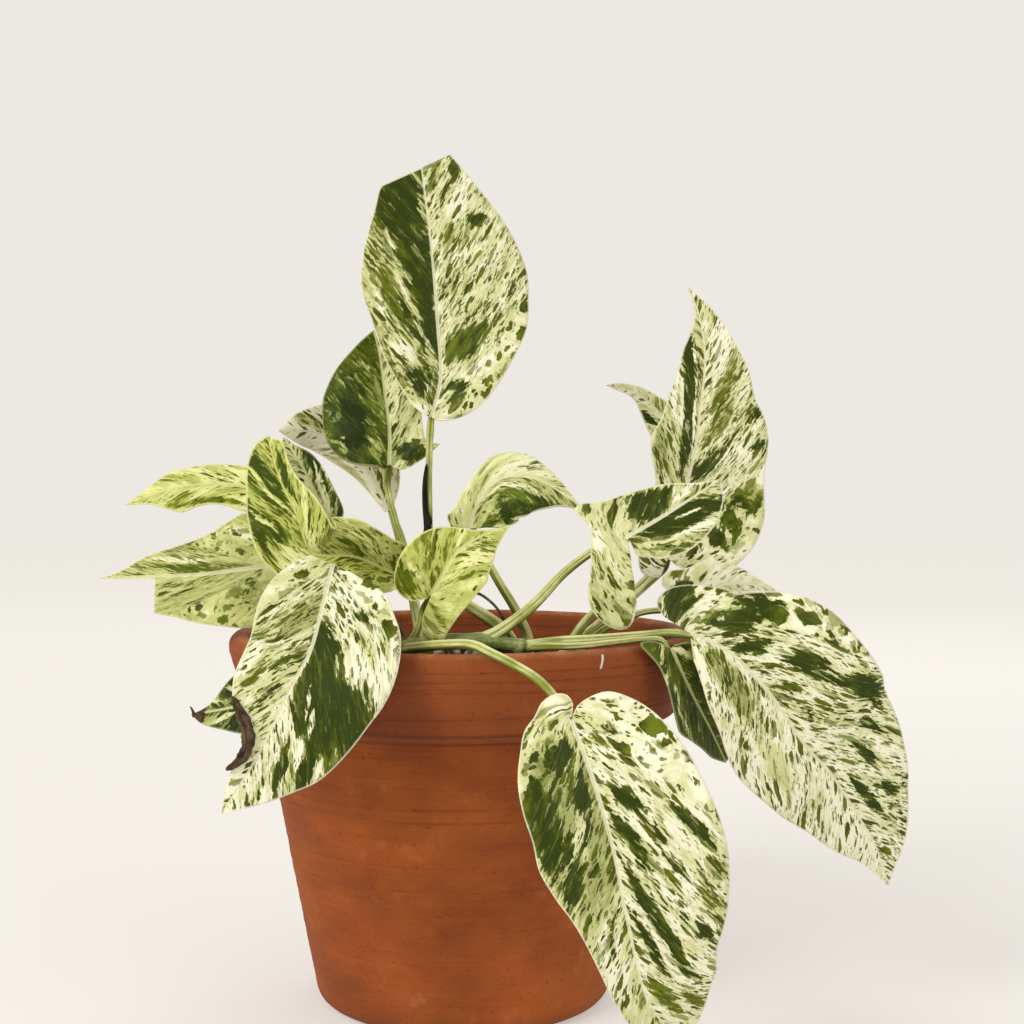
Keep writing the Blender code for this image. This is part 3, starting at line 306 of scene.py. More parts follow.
# The pot's outline as radius and height, first outside from the rim down and then inside, the
# distance between its points, how often it is rounded, and the steps round it
POT_OUTLINE = """74.8 124.2, 77.7 123.3, 79.1 121.2, 79.3 118.6, 72.4 97.7, 71 96.5, 67.7 96.1,
49.8 3, 48.6 0.9, 46.8 0, 7.8 0, 7 0.8, 7 6, 41 6, 44.6 9, 60.4 92.5, 64.2 100.5, 71.2 118.2,
72.2 122.4"""
POT_SPACING = 1.3
POT_ROUNDINGS = 2
POT_STEPS = 240
# Heights and radii of a cone between the pot's outside and its inside
POT_MIDDLE = ((0, 124), (47, 73))
# Heights of the lines left on the outside by the throwing, and of the painted shade lines above
# and below the collar's lower edge: a groove's shade above it and the shadow under the ledge
THROWING_LINES = (118.3, 115.4, 104.1, 74.8, 70.6, 48.2)
LEDGE_SHADE_LINES = (98.8, 95.7)
# The white scratch beside the rim: its angle round the pot, its height, how it slants, and the
# pot's radius there
SCRATCH_ANGLE = 5.297
SCRATCH_HEIGHT = 120.4
SCRATCH_SLANT = -0.0045
SCRATCH_RADIUS = 79.0

# The soil's level, its top as a radius with rings and steps round it, and its lower edge
SOIL_LEVEL = 108
SOIL_RADIUS = 67.0
SOIL_RINGS = 64
SOIL_STEPS = 200
SOIL_FOOT = (62, 96.5)
# How far from the axis the crumbs lie, at their middles and with their size, and how far from
# a stem's middle
CRUMB_REACH = 64
CRUMB_LIMIT = 65.5
CRUMB_GAP = 4
BALL = """0 0 1, 0.89 0 0.45, 0.28 0.85 0.45, -0.72 0.53 0.45, -0.72 -0.53 0.45, 0.28 -0.85 0.45,
0.72 0.53 -0.45, -0.28 0.85 -0.45, -0.89 0 -0.45, -0.28 -0.85 -0.45, 0.72 -0.53 -0.45, 0 0 -1"""
BALL_FACES = [(0, 1, 2), (0, 2, 3), (0, 3, 4), (0, 4, 5), (0, 5, 1), (1, 6, 2), (2, 7, 3),
              (3, 8, 4), (4, 9, 5), (5, 10, 1), (2, 6, 7), (3, 7, 8), (4, 8, 9), (5, 9, 10),
              (1, 10, 6), (11, 7, 6), (11, 8, 7), (11, 9, 8), (11, 10, 9), (11, 6, 10)]

# The camera that the photo was solved for: its place, its lens and how far down it looks
CAMERA_PLACE = (0.0055, -0.520, 0.1773)
CAMERA_LENS = 55.27
CAMERA_PITCH = 1.46
# Each light's name, place, aim, size, power and colour, in metres and watts
LIGHTS = [
    ("window", (-0.8, -0.8, 0.9), (0, 0, 0.12), 0.7, 10.5, (1, 0.98, 0.94)),
    ("fill", (1.0, -0.7, 0.5), (0, 0, 0.12), 0.9, 3, (0.97, 0.98, 1)),
    ("back", (0.3, 0.9, 0.9), (0, 0, 0.15), 0.8, 3, (1, 1, 1)),
]


def read_rows(text):
    """The rows of a table, as tuples of numbers and words."""
    return [tuple(float(v) if v[-1].isdigit() else v for v in row.split())
            for row in text.split(",")]


# Curves and surfaces


def unit(vectors):
    vectors = np.asarray(vectors, float)
    return vectors / np.maximum(np.linalg.norm(vectors, axis=-1, keepdims=True), 1e-9)


def smooth_step(low, high, value):
    t = np.clip((value - low) / (high - low), 0, 1)
    return t * t * (3 - 2 * t)


def smooth_curve(points):
    """A dense line through the points, rounded as a centripetal Catmull-Rom curve."""
    points = np.asarray(points, float)
    if len(points) == 2:
        return points[0] + (points[1] - points[0]) * np.linspace(0, 1, CURVE_STEPS + 1)[:, None]
    points = np.vstack([2 * points[0] - points[1], points, 2 * points[-1] - points[-2]])
    line = [points[1]]
    for first in range(len(points) - 3):
        p = points[first:first + 4]
        knots = np.append(0, np.cumsum(np.linalg.norm(np.diff(p, axis=0), axis=1) ** 0.5))
        for t in np.linspace(knots[1], knots[2], CURVE_STEPS + 1)[1:]:
            level = p
            for reach in (1, 2):
                level = [mix(level[i], level[i + 1], knots[i], knots[i + reach], t)
                         for i in range(len(level) - 1)]
            line.append(mix(level[0], level[1], knots[1], knots[2], t))
    return np.array(line)


def mix(start, end, knot_start, knot_end, t):
    share = (t - knot_start) / (knot_end - knot_start)
    return start * (1 - share) + end * share


def run_lengths(line):
    return np.append(0, np.cumsum(np.linalg.norm(np.diff(line, axis=0), axis=1)))


def points_at(line, distances):
    lengths = run_lengths(line)
    return np.stack([np.interp(distances, lengths, column) for column in line.T], -1)


def margin_line(margin, length):
    """The half's margin as a dense line, smooth between its corners."""
    pieces = [[]]
    for point in margin:
        pieces[-1].append(point[:2])
        if len(point) > 2:
            pieces.append([point[:2]])
    pieces[-1].append((length, 0))
    lines = [smooth_curve(piece) for piece in pieces]
    return np.vstack([lines[0]] + [line[1:] for line in lines[1:]])


def margin_stations(line, roots, fan):
    """The margin's point for each row: the fan's rows share the base, the others their vein."""
    lengths = run_lengths(line)
    along = line[:, 0] - VEIN_LEAN * np.abs(line[:, 1])
    along = np.maximum.accumulate(along) + 0.001 * lengths
    veins = np.interp(roots[fan:], along, lengths)
    veins[-1] = lengths[-1]
    first = max(veins[0], SHORTEST_FAN * lengths[-1])
    stretch = (lengths[-1] - first) / (lengths[-1] - veins[0])
    beyond = first + (veins - veins[0]) * stretch
    across_fan = np.linspace(0, first, fan + 1)[:-1]
    return points_at(line, np.append(across_fan, beyond))


def distance_to(line, along, out):
    """The shortest distance from each flat place to the line."""
    fine = points_at(line, np.linspace(0, run_lengths(line)[-1], 400))
    flat = np.stack([along, out], -1).reshape(-1, 2)
    nearest = [np.min(np.hypot(*(fine - place).T)) for place in flat]
    return np.reshape(nearest, along.shape)


def vein_place(along, out, lean):
    """Distance along the side vein that passes there, and where that vein starts."""
    root = along - lean * out
    radius = np.hypot(along, out)
    fan = (np.arctan2(along, out) - math.atan(lean)) * FAN_RADIUS * radius / (radius + FAN_RADIUS)
    inside = root >= 0
    return np.where(inside, out * math.hypot(1, lean), radius), np.where(inside, root, fan)


def patch_strength(along, out, middle, away, reach, width, lean):
    """One within the patch and none outside it, as a lens that leans outwards."""
    lean = math.radians(lean)
    ahead, aside = along - middle, out - abs(away)
    long = ahead * math.cos(lean) + aside * math.sin(lean)
    wide = aside * math.cos(lean) - ahead * math.sin(lean)
    distance = np.abs(wide) / (0.72 * width + 0.3) + (long / (0.9 * reach)) ** 2
    return 1 - smooth_step(0.45, 1.3, distance)


class Leaf:
    """A leaf's shape and look, from its lines in the table."""

    def __init__(self, text):
        fields = [read_rows(field) for field in text.split("|")]
        (self.name, fan), = fields[0]
        self.fan = int(fan) * FINER_ROWS
        self.line = smooth_curve(fields[1])
        self.length = run_lengths(self.line)[-1]
        self.faces = unit(fields[2])
        self.bends = fields[3][0], fields[5][0]
        self.margins = fields[4], fields[6]
        self.palette, *shares = fields[7][0]
        self.shares = shares[:2], shares[2:]
        self.patches = fields[8]

    def axes(self, along):
        """The midrib's point there, the way the face looks, and the way across."""
        inside = np.clip(along, 0, self.length)
        reach = AXIS_REACH * self.length
        ahead = points_at(self.line, np.minimum(inside + reach, self.length))
        forward = unit(ahead - points_at(self.line, np.maximum(inside - reach, 0)))
        spot = inside / self.length * (len(self.faces) - 1)
        first = np.minimum(spot.astype(int), len(self.faces) - 2)
        share = (spot - first)[..., None]
        normal = unit(self.faces[first] * (1 - share) + self.faces[first + 1] * share)
        normal = unit(normal - (normal * forward).sum(-1, keepdims=True) * forward)
        point = points_at(self.line, inside) + forward * (along - inside)[..., None]
        return point, normal, np.cross(forward, normal)

    def bent(self, which, along, out, share_out=0.0, turn=0.0):
        """Points of the half's flat outline, taken to their places on the bent blade."""
        point, normal, across = self.axes(along)
        share = np.clip(along / self.length, 0, 1)
        fold, end_fold, curl, end_curl = self.bends[which]
        fold = np.radians(fold + (end_fold - fold) * share)
        curl = np.radians(curl + (end_curl - curl) * share) / 10
        curl = np.where(np.abs(curl) < 1e-6, 1e-6, curl)
        reach = (np.sin(fold + curl * out) - np.sin(fold)) / curl
        lift = (np.cos(fold) - np.cos(fold + curl * out)) / curl
        ripple = np.sin(2 * math.pi * (WAVES * turn + WAVE_LAG * which))
        lift = lift + WAVE_HEIGHT * share_out ** 2 * ripple * np.minimum(1, out / WAVE_WIDTH)
        return point + (1 if which else -1) * across * reach[..., None] + normal * lift[..., None]

    def sheet(self, which, roots):
        """A half's grid: the points, their flat places, the distance to the margin, the place
        among the veins, and the pale share, the dark share and the tone."""
        edge_line = margin_line(self.margins[which], self.length)
        edges = margin_stations(edge_line, roots, self.fan)
        shares = np.linspace(0, 1, COLUMNS + 1) ** CROWDING
        along = roots[:, None] + (edges[:, :1] - roots[:, None]) * shares
        out = edges[:, 1:] * shares
        turn = np.arange(len(roots))[:, None] / (len(roots) - 1)
        points = self.bent(which, along, out, shares, turn)
        look = [np.full(out.shape, share) for share in (*self.shares[which], 0.0)]
        for kind, *patch in self.patches:
            if (patch[1] > 0) == bool(which):
                inside = patch_strength(along, out, *patch)
                for share, goal in zip(look, KINDS[kind]):
                    share += (goal - share) * inside
        veins = vein_place(along, np.abs(out), LEANS.get(self.name, LEAN))
        return points, along, out, distance_to(edge_line, along, out), *veins, *look


def weld(rows, fan):
    """A grid from the left margin over the midrib to the right, with one place for the fan's
    rows at the midrib and one for the tip. Gives each place's vertex, and each vertex's half,
    row and column."""
    index = np.zeros((rows + 1, 2 * COLUMNS + 1), int)
    known = {}
    for row in range(rows + 1):
        for column in range(-COLUMNS, COLUMNS + 1):
            key = (row, column)
            if column == 0:
                key = (max(row, fan), 0)
            if row == rows:
                key = (rows, 0)
            index[row, column + COLUMNS] = known.setdefault(key, len(known))
    return index, np.array([(column > 0, row, abs(column)) for row, column in known]).T


def vertex_normals(points, faces):
    total = np.zeros_like(points)
    for ring in faces:
        corner = points[list(ring)]
        turned = np.cross(corner[1] - corner[0], corner[-1] - corner[0])
        if len(ring) == 4:
            turned = turned + np.cross(corner[3] - corner[2], corner[1] - corner[2])
        total[list(ring)] += turned
    return unit(total)


def open_edges(faces):
    """The edges with one face, each in that face's direction."""
    seen = {(ring[i - 1], end) for ring in faces for i, end in enumerate(ring)}
    return [(start, end) for start, end in seen if (end, start) not in seen]


def band(first, second, sides):
    """The faces between two rings of points, each given by the number of its first point."""
    after = [(k + 1) % sides for k in range(sides)]
    return [(first + k, first + n, second + n, second + k) for k, n in enumerate(after)]


def add_piece(name, points, faces, finish, nodes=(), values=None):
    """A mesh object from millimetre points round the pot's axis, riding on the plant."""
    mesh = bpy.data.meshes.new(name)
    points = (np.asarray(points) + POT_AXIS) * MM
    mesh.from_pydata([tuple(p) for p in points], [], faces)
    for key, data in (values or {}).items():
        layer = mesh.attributes.new(key, "FLOAT_VECTOR", "POINT")
        layer.data.foreach_set("vector", np.asarray(data, np.float32).ravel())
    mesh.shade_smooth()
    mesh.update()
    mesh.materials.append(finish)
    piece = bpy.data.objects.new(name, mesh)
    bpy.context.scene.collection.objects.link(piece)
    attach(piece, "root")
    if nodes:
        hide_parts(*nodes)


def make_blade(leaf, seed, finish):
    """The visible leaf: the CAD leaf's surface, finer, with its midrib, veins and colours."""
    rows = ROWS * FINER_ROWS
    roots = np.append(np.zeros(leaf.fan), np.linspace(0, leaf.length, rows - leaf.fan + 1))
    index, (side, row, column) = weld(rows, leaf.fan)
    halves = leaf.sheet(0, roots), leaf.sheet(1, roots)
    points, along, out, margin, flow, root, pale, dark, tone = [
        np.stack(pair)[side, row, column] for pair in zip(*halves)]
    faces = []
    corners = index[:-1, :-1], index[1:, :-1], index[1:, 1:], index[:-1, 1:]
    for ring in zip(*(corner.ravel().tolist() for corner in corners)):
        ring = tuple(v for i, v in enumerate(ring) if v != ring[i - 1])
        if len(set(ring)) > 2:
            faces.append(ring)
    normals = vertex_normals(points, faces)
    if (normals * leaf.axes(np.clip(along, 0, leaf.length))[1]).sum() < 0:
        faces = [ring[::-1] for ring in faces]
        normals = -normals
    # Relief: quilting between the side veins, swells, a sunken midrib above and a keel beneath
    away = np.abs(out)
    run = np.clip(along / leaf.length, 0, 1)
    quilt = 0.5 - 0.5 * np.cos(2 * math.pi * root / VEIN_SPACING)
    quilt *= smooth_step(1, 6, away) * smooth_step(0, 5, margin) * smooth_step(0, 8, flow)
    swell = np.array([noise.noise(Vector((a, o, seed))) for a, o in
                      zip(along / SWELL_SIZE, out * (2 * side - 1) / SWELL_SIZE)])
    swell = SWELL_HEIGHT * swell * smooth_step(1, 9, away) * smooth_step(0, 7, margin)
    lifted = points + normals * (QUILT_HEIGHT * quilt + swell)[:, None]
    groove = (0.28 - 0.2 * run) * np.exp(-(away / (0.75 - 0.4 * run)) ** 2)
    keel = (1.0 - 0.85 * run) * np.exp(-(away / (1.1 - 0.6 * run)) ** 2)
    thick = (0.5 + 0.5 * smooth_step(0, 1.2, margin)) * BLADE / 2
    above = lifted + normals * (thick - groove)[:, None]
    below = lifted - normals * (thick + keel * smooth_step(0, 1, margin))[:, None]
    count = len(points)
    shell = faces + [tuple(v + count for v in reversed(ring)) for ring in faces]
    shell += [(end, start, start + count, end + count) for start, end in open_edges(faces)]
    rib = away / (0.95 - 0.6 * run) + np.maximum(0, -along - 0.5)
    shifted = root + VEIN_SPACING * (40 * seed + 17 * side)
    columns = {"vein": (flow, shifted, seed + 0.5 * side), "patch": (pale, dark, tone),
               "place": (margin, rib, 0 * rib)}
    values = {key: np.tile(np.stack(data, -1), (2, 1)) for key, data in columns.items()}
    values["place"][count:, 2] = 1
    add_piece(leaf.name.replace("leaf_", "blade_"), np.vstack([above, below]), shell, finish,
              [leaf.name], values)


def sweep(route, radius_at, facing, sides=16, spacing=1.6, groove=0.0):
    """A tube along the route. Facing is where its grooved side looks. Gives its mesh and,
    at each point, the distance along, the way round from the groove, and the radius."""
    line = smooth_curve(route)
    total = run_lengths(line)[-1]
    count = max(4, int(total / spacing))
    stations = np.linspace(0, total, count + 1)
    centres = points_at(line, stations)
    forward = unit(np.gradient(centres, axis=0))
    side = unit(facing)
    points, values, faces = [], [], []
    for i in reversed(range(count + 1)):
        side = unit(side - side.dot(forward[i]) * forward[i])
        other = np.cross(forward[i], side)
        radius = radius_at(stations[i], total)
        for k in range(sides):
            angle = 2 * math.pi * k / sides
            away = min(angle, 2 * math.pi - angle)
            hollow = 1 - groove * math.exp(-(away / 0.42) ** 2)
            hollow += 0.35 * groove * math.exp(-((away - 0.85) / 0.35) ** 2)
            r = radius * hollow
            points.append(centres[i] + r * (math.cos(angle) * side + math.sin(angle) * other))
            values.append((stations[i], away, radius))
    for i in range(count):
        faces += band(i * sides, (i + 1) * sides, sides)
    faces.append(tuple(reversed(range(sides))))
    faces.append(tuple(range(count * sides, (count + 1) * sides)))
    return points, faces, values


def add_tubes(name, tubes, finish, *nodes):
    """Several tubes as one piece, with their values and the tube's number at their points."""
    points, faces, values = [], [], []
    for number, (tube, rings, places) in enumerate(tubes):
        base = len(points)
        points += tube
        faces += [tuple(i + base for i in ring) for ring in rings]
        values += [(*place, number) for place in places]
    values = np.array(values)
    add_piece(name, points, faces, finish, nodes,
              {"stalk": values[:, [0, 1, 3]], "girth": values[:, [2, 2, 2]]})


def petiole(leaf, start, end, route):
    """A petiole that widens into its sheath, ends where the CAD petiole does, behind the
    leaf's base, and runs on into the keel under the midrib."""
    point, normal, _ = [axis[0] for axis in leaf.axes(np.zeros(1))]
    direction = unit(point - route[-1])
    leaning = math.sqrt(max(0, 1 - direction.dot(normal) ** 2))
    folded_back = min(0, *(bend[0] for bend in leaf.bends))
    gap = BLADE / 2 + CLEARANCE + end * leaning
    arrives = point - normal * gap / math.cos(math.radians(folded_back)) ** 2
    places = np.array(KEEL_PLACES)
    ribs, ways, _ = leaf.axes(places[:, 0])
    under = ribs - ways * places[:, 1:]
    tail = np.linalg.norm(under[-1] - arrives) + 1.0

    def radius_at(distance, total):
        to_blade = total - tail - distance
        if to_blade < 0:
            return end * max(0.25, 1 + 0.75 * to_blade / tail)
        share = distance / (total - tail)
        radius = start + (end - start) * share
        radius *= 1 + 0.3 * math.exp(-distance / 6)
        return radius * (1 + 0.16 * math.exp(-((to_blade - 3.5) / 2.6) ** 2))

    return sweep([*route, arrives, *under], radius_at, normal, groove=0.2)


def stem(route, starts):
    """The stem, swollen into a ring where each petiole starts."""
    line = smooth_curve(route)

    def radius_at(distance, total):
        near = np.min(np.linalg.norm(starts - points_at(line, distance), axis=1))
        radius = STEM_RADIUS * (1 - 0.2 * distance / total)
        return radius * (0.94 + 0.2 * math.exp(-(near / 2.2) ** 2))

    return sweep(route, radius_at, (1, 0, 0), sides=22, spacing=1.0)


# Materials


def srgb(red, green, blue):
    """A screen colour as linear light, with full opacity."""
    linear = [((v / 255 + 0.055) / 1.055) ** 2.4 for v in (red, green, blue)]
    return (*linear, 1)


class Value:
    """What a node gives. Sums with it, and its short calls, make the nodes that follow."""

    def __init__(self, shader, socket):
        self.shader, self.socket = shader, socket

    def calc(self, operation, other=0.0, kind="Math"):
        return self.shader.node(kind, {0: self, 1: other}, operation=operation)

    def __add__(self, other):
        return self.calc("ADD", other)

    def __sub__(self, other):
        return self.calc("SUBTRACT", other)

    def __rsub__(self, other):
        return self.shader.node("Math", {0: other, 1: self}, operation="SUBTRACT")

    def __mul__(self, other):
        return self.calc("MULTIPLY", other)

    def __or__(self, other):
        """The larger of the two."""
        return self.calc("MAXIMUM", other)

    def __abs__(self):
        return self.calc("ABSOLUTE")

    def beside(self, name):
        """Another output of the same node."""
        return Value(self.shader, self.socket.node.outputs[name])

    def split(self):
        first = self.shader.node("SeparateXYZ", {0: self})
        return first, first.beside("Y"), first.beside("Z")

    def step(self, low, high, start=0.0, end=1.0):
        """A smooth rise or fall from start to end, as this goes from low to high."""
        ends = {"From Min": low, "From Max": high, "To Min": start, "To Max": end}
        return self.shader.node("MapRange", {"Value": self, **ends},
                                interpolation_type="SMOOTHSTEP")

    def moved(self, offset):
        return self.calc("ADD", offset, "VectorMath")

    def scaled(self, scale):
        scale = scale if isinstance(scale, tuple) else (scale, scale, scale)
        return self.calc("MULTIPLY", scale, "VectorMath")

    def cloud(self, scale, detail, rough):
        inputs = {"Vector": self.scaled(scale), "Scale": 1.0, "Detail": detail, "Roughness": rough}
        return self.shader.node("TexNoise", inputs)

    def noise(self, scale, detail, rough):
        """Noise of this place times the scale, spread to about minus one to one."""
        return (self.cloud(scale, detail, rough) - 0.5) * 4.0

    def wander(self, scale, detail, rough, reach):
        """A vector of noise, with so wide a reach in each direction."""
        shifted = self.cloud(scale, detail, rough).beside("Color").moved((-0.5, -0.5, -0.5))
        return shifted.scaled(reach)

    def bump(self, distance, strength=1.0):
        inputs = {"Height": self, "Distance": distance, "Strength": strength}
        return self.shader.node("Bump", inputs)


class Shader:
    """A material, built up node by node."""

    def __init__(self, name, roughness, specular):
        self.material = bpy.data.materials.new(name)
        self.material.use_nodes = True
        self.tree = self.material.node_tree
        self.finish(Roughness=roughness, Specular_IOR_Level=specular)

    def node(self, kind, inputs, output=0, **settings):
        made = self.tree.nodes.new("ShaderNode" + kind)
        for key, value in settings.items():
            setattr(made, key, value)
        for key, value in inputs.items():
            self.set(made.inputs[key], value)
        return Value(self, made.outputs[output])

    def set(self, socket, value):
        if isinstance(value, Value):
            self.tree.links.new(value.socket, socket)
        else:
            socket.default_value = value

    def finish(self, **sockets):
        for name, value in sockets.items():
            self.set(self.tree.nodes["Principled BSDF"].inputs[name.replace("_", " ")], value)
        return self.material

    def attribute(self, name):
        return self.node("Attribute", {}, "Vector", attribute_name=name)

    def place(self):
        """The place on the object in millimetres."""
        return self.node("TexCoord", {}, "Object").scaled(1000)

    def vector(self, *values):
        return self.node("CombineXYZ", dict(enumerate(values)))

    def blend(self, share, first, second):
        """The first colour with the second over it. A tuple is a screen colour."""
        first, second = [srgb(*c) if isinstance(c, tuple) else c for c in (first, second)]
        return self.node("Mix", {"Factor": share, 6: first, 7: second}, 2, data_type="RGBA")


def flecks(place, scale, density, size):
    """Separate streaks along the veins: their marks, halos, other marks, and a random tone."""
    cell = place.shader.node("TexVoronoi", {"Vector": place.scaled(scale), "Scale": 1.0},
                             voronoi_dimensions="2D")
    often, big, tone = cell.beside("Color").split()
    reach = big * size + size * 0.45 - cell
    inside = reach.step(-0.015, 0.05)
    chosen = (density - often).step(0.0, 0.04)
    return inside * chosen, chosen * reach.step(-0.22, 0.12), inside * often.step(0.86, 0.9), tone


def leaf_material(name):
    cream, pale, olive, mid, dark = PALETTES[name]
    s = Shader("leaf_" + name, 0.45, 0.13)
    vein, patch, place = [s.attribute(key) for key in ("vein", "patch", "place")]
    pale_share, dark_share, shade = patch.split()
    margin, midrib, under = place.split()
    p = vein.moved(vein.wander((0.1, 0.14, 1), 4, 0.65, (6.0, 4.5, 0.0)))
    broad = p.noise((0.07, 0.13, 1.7), 2, 0.5)
    streak = p.noise((0.19, 0.52, 3.1), 3, 0.65)
    soft = p.noise((0.1, 0.22, 4.1), 3, 0.6)
    fine = p.noise((0.6, 1.3, 2.3), 3, 0.6)
    patches = (dark_share + broad * 0.3 + streak * 0.7 + fine * 0.15).step(0.42, 0.55)
    density = dark_share * 0.5 + broad * 0.2 + 0.47
    ragged = p.moved(vein.wander((0.9, 1.4, 1), 2, 0.6, (1.4, 0.8, 0.0)))
    large, glow, gaps, large_tone = flecks(ragged, (0.13, 0.36, 1), density, 0.36)
    small, glint, specks, small_tone = flecks(ragged, (0.26, 0.76, 1), density, 0.36)
    tiny, _, _, tiny_tone = flecks(ragged, (0.5, 1.35, 1), density * 0.8, 0.32)
    spotted = (large * large_tone.step(0, 0.5, 0.45, 1) | small * small_tone.step(0, 0.6, 0.35, 1)
               | tiny * tiny_tone.step(0, 0.8, 0.3, 1))
    is_green = patches * (1.0 - (gaps * 0.75 | specks * 0.6)) | spotted
    pale_field = (pale_share + soft * 0.65 + streak * 0.35 + fine * 0.35 + glow * 0.45
                  + glint * 0.3)
    ground = s.blend(pale_field.step(-0.35, 0.55, 0, 0.92), cream, pale)
    ground = s.blend(pale_field.step(0.55, 1.3, 0, 0.85), ground, olive)
    tone = large_tone * 0.3 + small_tone * 0.3 + tiny_tone * 0.2
    depth = shade + tone * 0.9 + fine * 0.25 + soft * 0.4 + streak * 0.3
    green = s.blend(depth.step(-0.1, 0.95), mid, dark)
    colour = s.blend(is_green, ground, green)
    # Pale lines: the side veins, the midrib and the margin, and then the paler back
    side_vein = vein.split()[1].calc("PINGPONG", VEIN_SPACING / 2).step(0, 0.4, 1, 0)
    colour = s.blend(side_vein * 0.05, colour, pale)
    colour = s.blend(midrib.step(0.55, 1.1, 1, 0) * 0.85, colour, s.blend(0.25, cream, pale))
    edge_share = 0.3 if name == "deep" else 0.75
    colour = s.blend(margin.step(0.2, 0.65, 1, 0) * edge_share, colour, cream)
    colour = s.blend(under * 0.4, colour, s.blend(0.5, cream, pale))
    # A dead tip, where a patch raises the tone far beyond that of a green one
    dead = s.blend(fine.step(-0.5, 0.7), (44, 34, 20), (104, 82, 56))
    colour = s.blend((shade + streak * 0.3).step(1.4, 1.7), colour, dead)
    height = (side_vein * -0.3 + fine * 0.12 + is_green * 0.12
              + vein.noise((0.5, 4.0, 1.0), 2, 0.5) * 0.08
              + vein.noise((6.0, 6.0, 1.0), 1, 0.5) * 0.05)
    rough = fine * 0.03 + under.step(0, 1, 0.42, 0.56) + is_green * -0.05
    return s.finish(Base_Color=colour, Roughness=rough, Normal=height.bump(0.0004, 0.9))


def stem_material():
    s = Shader("stem", 0.45, 0.4)
    along, around, which = s.attribute("stalk").split()
    girth = s.attribute("girth").split()[0]
    upward = s.node("NewGeometry", {}, "Normal").split()[2]
    mm = s.place()
    line_way = s.vector(along * 0.05, around * 2.2, which * 5.1)
    streak = line_way.noise(1, 3, 0.6)
    thin = line_way.noise((2, 5, 1), 3, 0.6)
    patchy = mm.noise(0.07, 3, 0.55)
    mottle = mm.noise(0.3, 3, 0.6)
    # Painted light and shade: the stalks are paler where they face up and darker olive where they face
    # down
    look = upward * -0.8 + streak * 0.5 + patchy * 0.6
    colour = s.blend(look.step(-0.75, 0.35), (240, 240, 168), (152, 164, 52))
    low = upward * -0.9 + streak * 0.3 + thin * 0.15
    colour = s.blend(low.step(-0.15, 0.8, 0, 0.85), colour, (66, 76, 10))
    # Painted shade along the groove: its side is darker olive
    colour = s.blend(around.step(0.1, 0.32, 1, 0) * 0.5, colour, (92, 104, 16))
    # The first tube of each piece is the stem itself: barkier, with brown rings where it swells
    bark = s.blend((mottle + thin * 0.4).step(-0.3, 0.8), (70, 92, 34), (166, 178, 104))
    main_stem = which.step(0.4, 0.6, 1, 0)
    colour = s.blend(main_stem * 0.75, colour, bark)
    colour = s.blend(main_stem * girth.step(2.9, 3.15) * 0.45, colour, (104, 84, 50))
    speck = mm.noise(0.9, 2, 0.5).step(0.7, 0.85)
    colour = s.blend(speck * 0.4, colour, (98, 84, 44))
    height = thin * 0.3 + mottle * 0.25 + speck * 0.3
    return s.finish(Base_Color=colour, Roughness=patchy.step(-1, 1, 0.36, 0.5),
                    Normal=height.bump(0.0003), Subsurface_Weight=0.1, Subsurface_Scale=0.002)


def dry_material():
    s = Shader("dry_leaf", 0.75, 0.25)
    along, around, which = s.attribute("stalk").split()
    cloud = s.place().noise(0.35, 3, 0.6)
    fibre = s.vector(along * 0.15, around * 4.0, which).noise(1, 3, 0.7)
    look = cloud * 0.7 + fibre * 0.7
    colour = s.blend(look.step(-0.8, 0.9), (46, 34, 22), (134, 108, 78))
    sheath = s.blend(look.step(0.2, 1.0), (26, 22, 20), (96, 84, 60))
    colour = s.blend(which.step(1.4, 1.6) * 0.8, colour, sheath)
    return s.finish(Base_Color=colour, Roughness=cloud.step(-1, 1, 0.62, 0.85),
                    Normal=look.bump(0.0006))


def root_material():
    s = Shader("aerial_root", 0.7, 0.3)
    fine = s.place().noise(1.4, 2, 0.6)
    look = s.place().noise(0.2, 3, 0.6) + fine * 0.5
    colour = s.blend(look.step(-0.8, 0.9), (70, 62, 36), (140, 138, 84))
    return s.finish(Base_Color=colour, Roughness=fine.step(-1, 1, 0.6, 0.8),
                    Normal=fine.bump(0.0004))


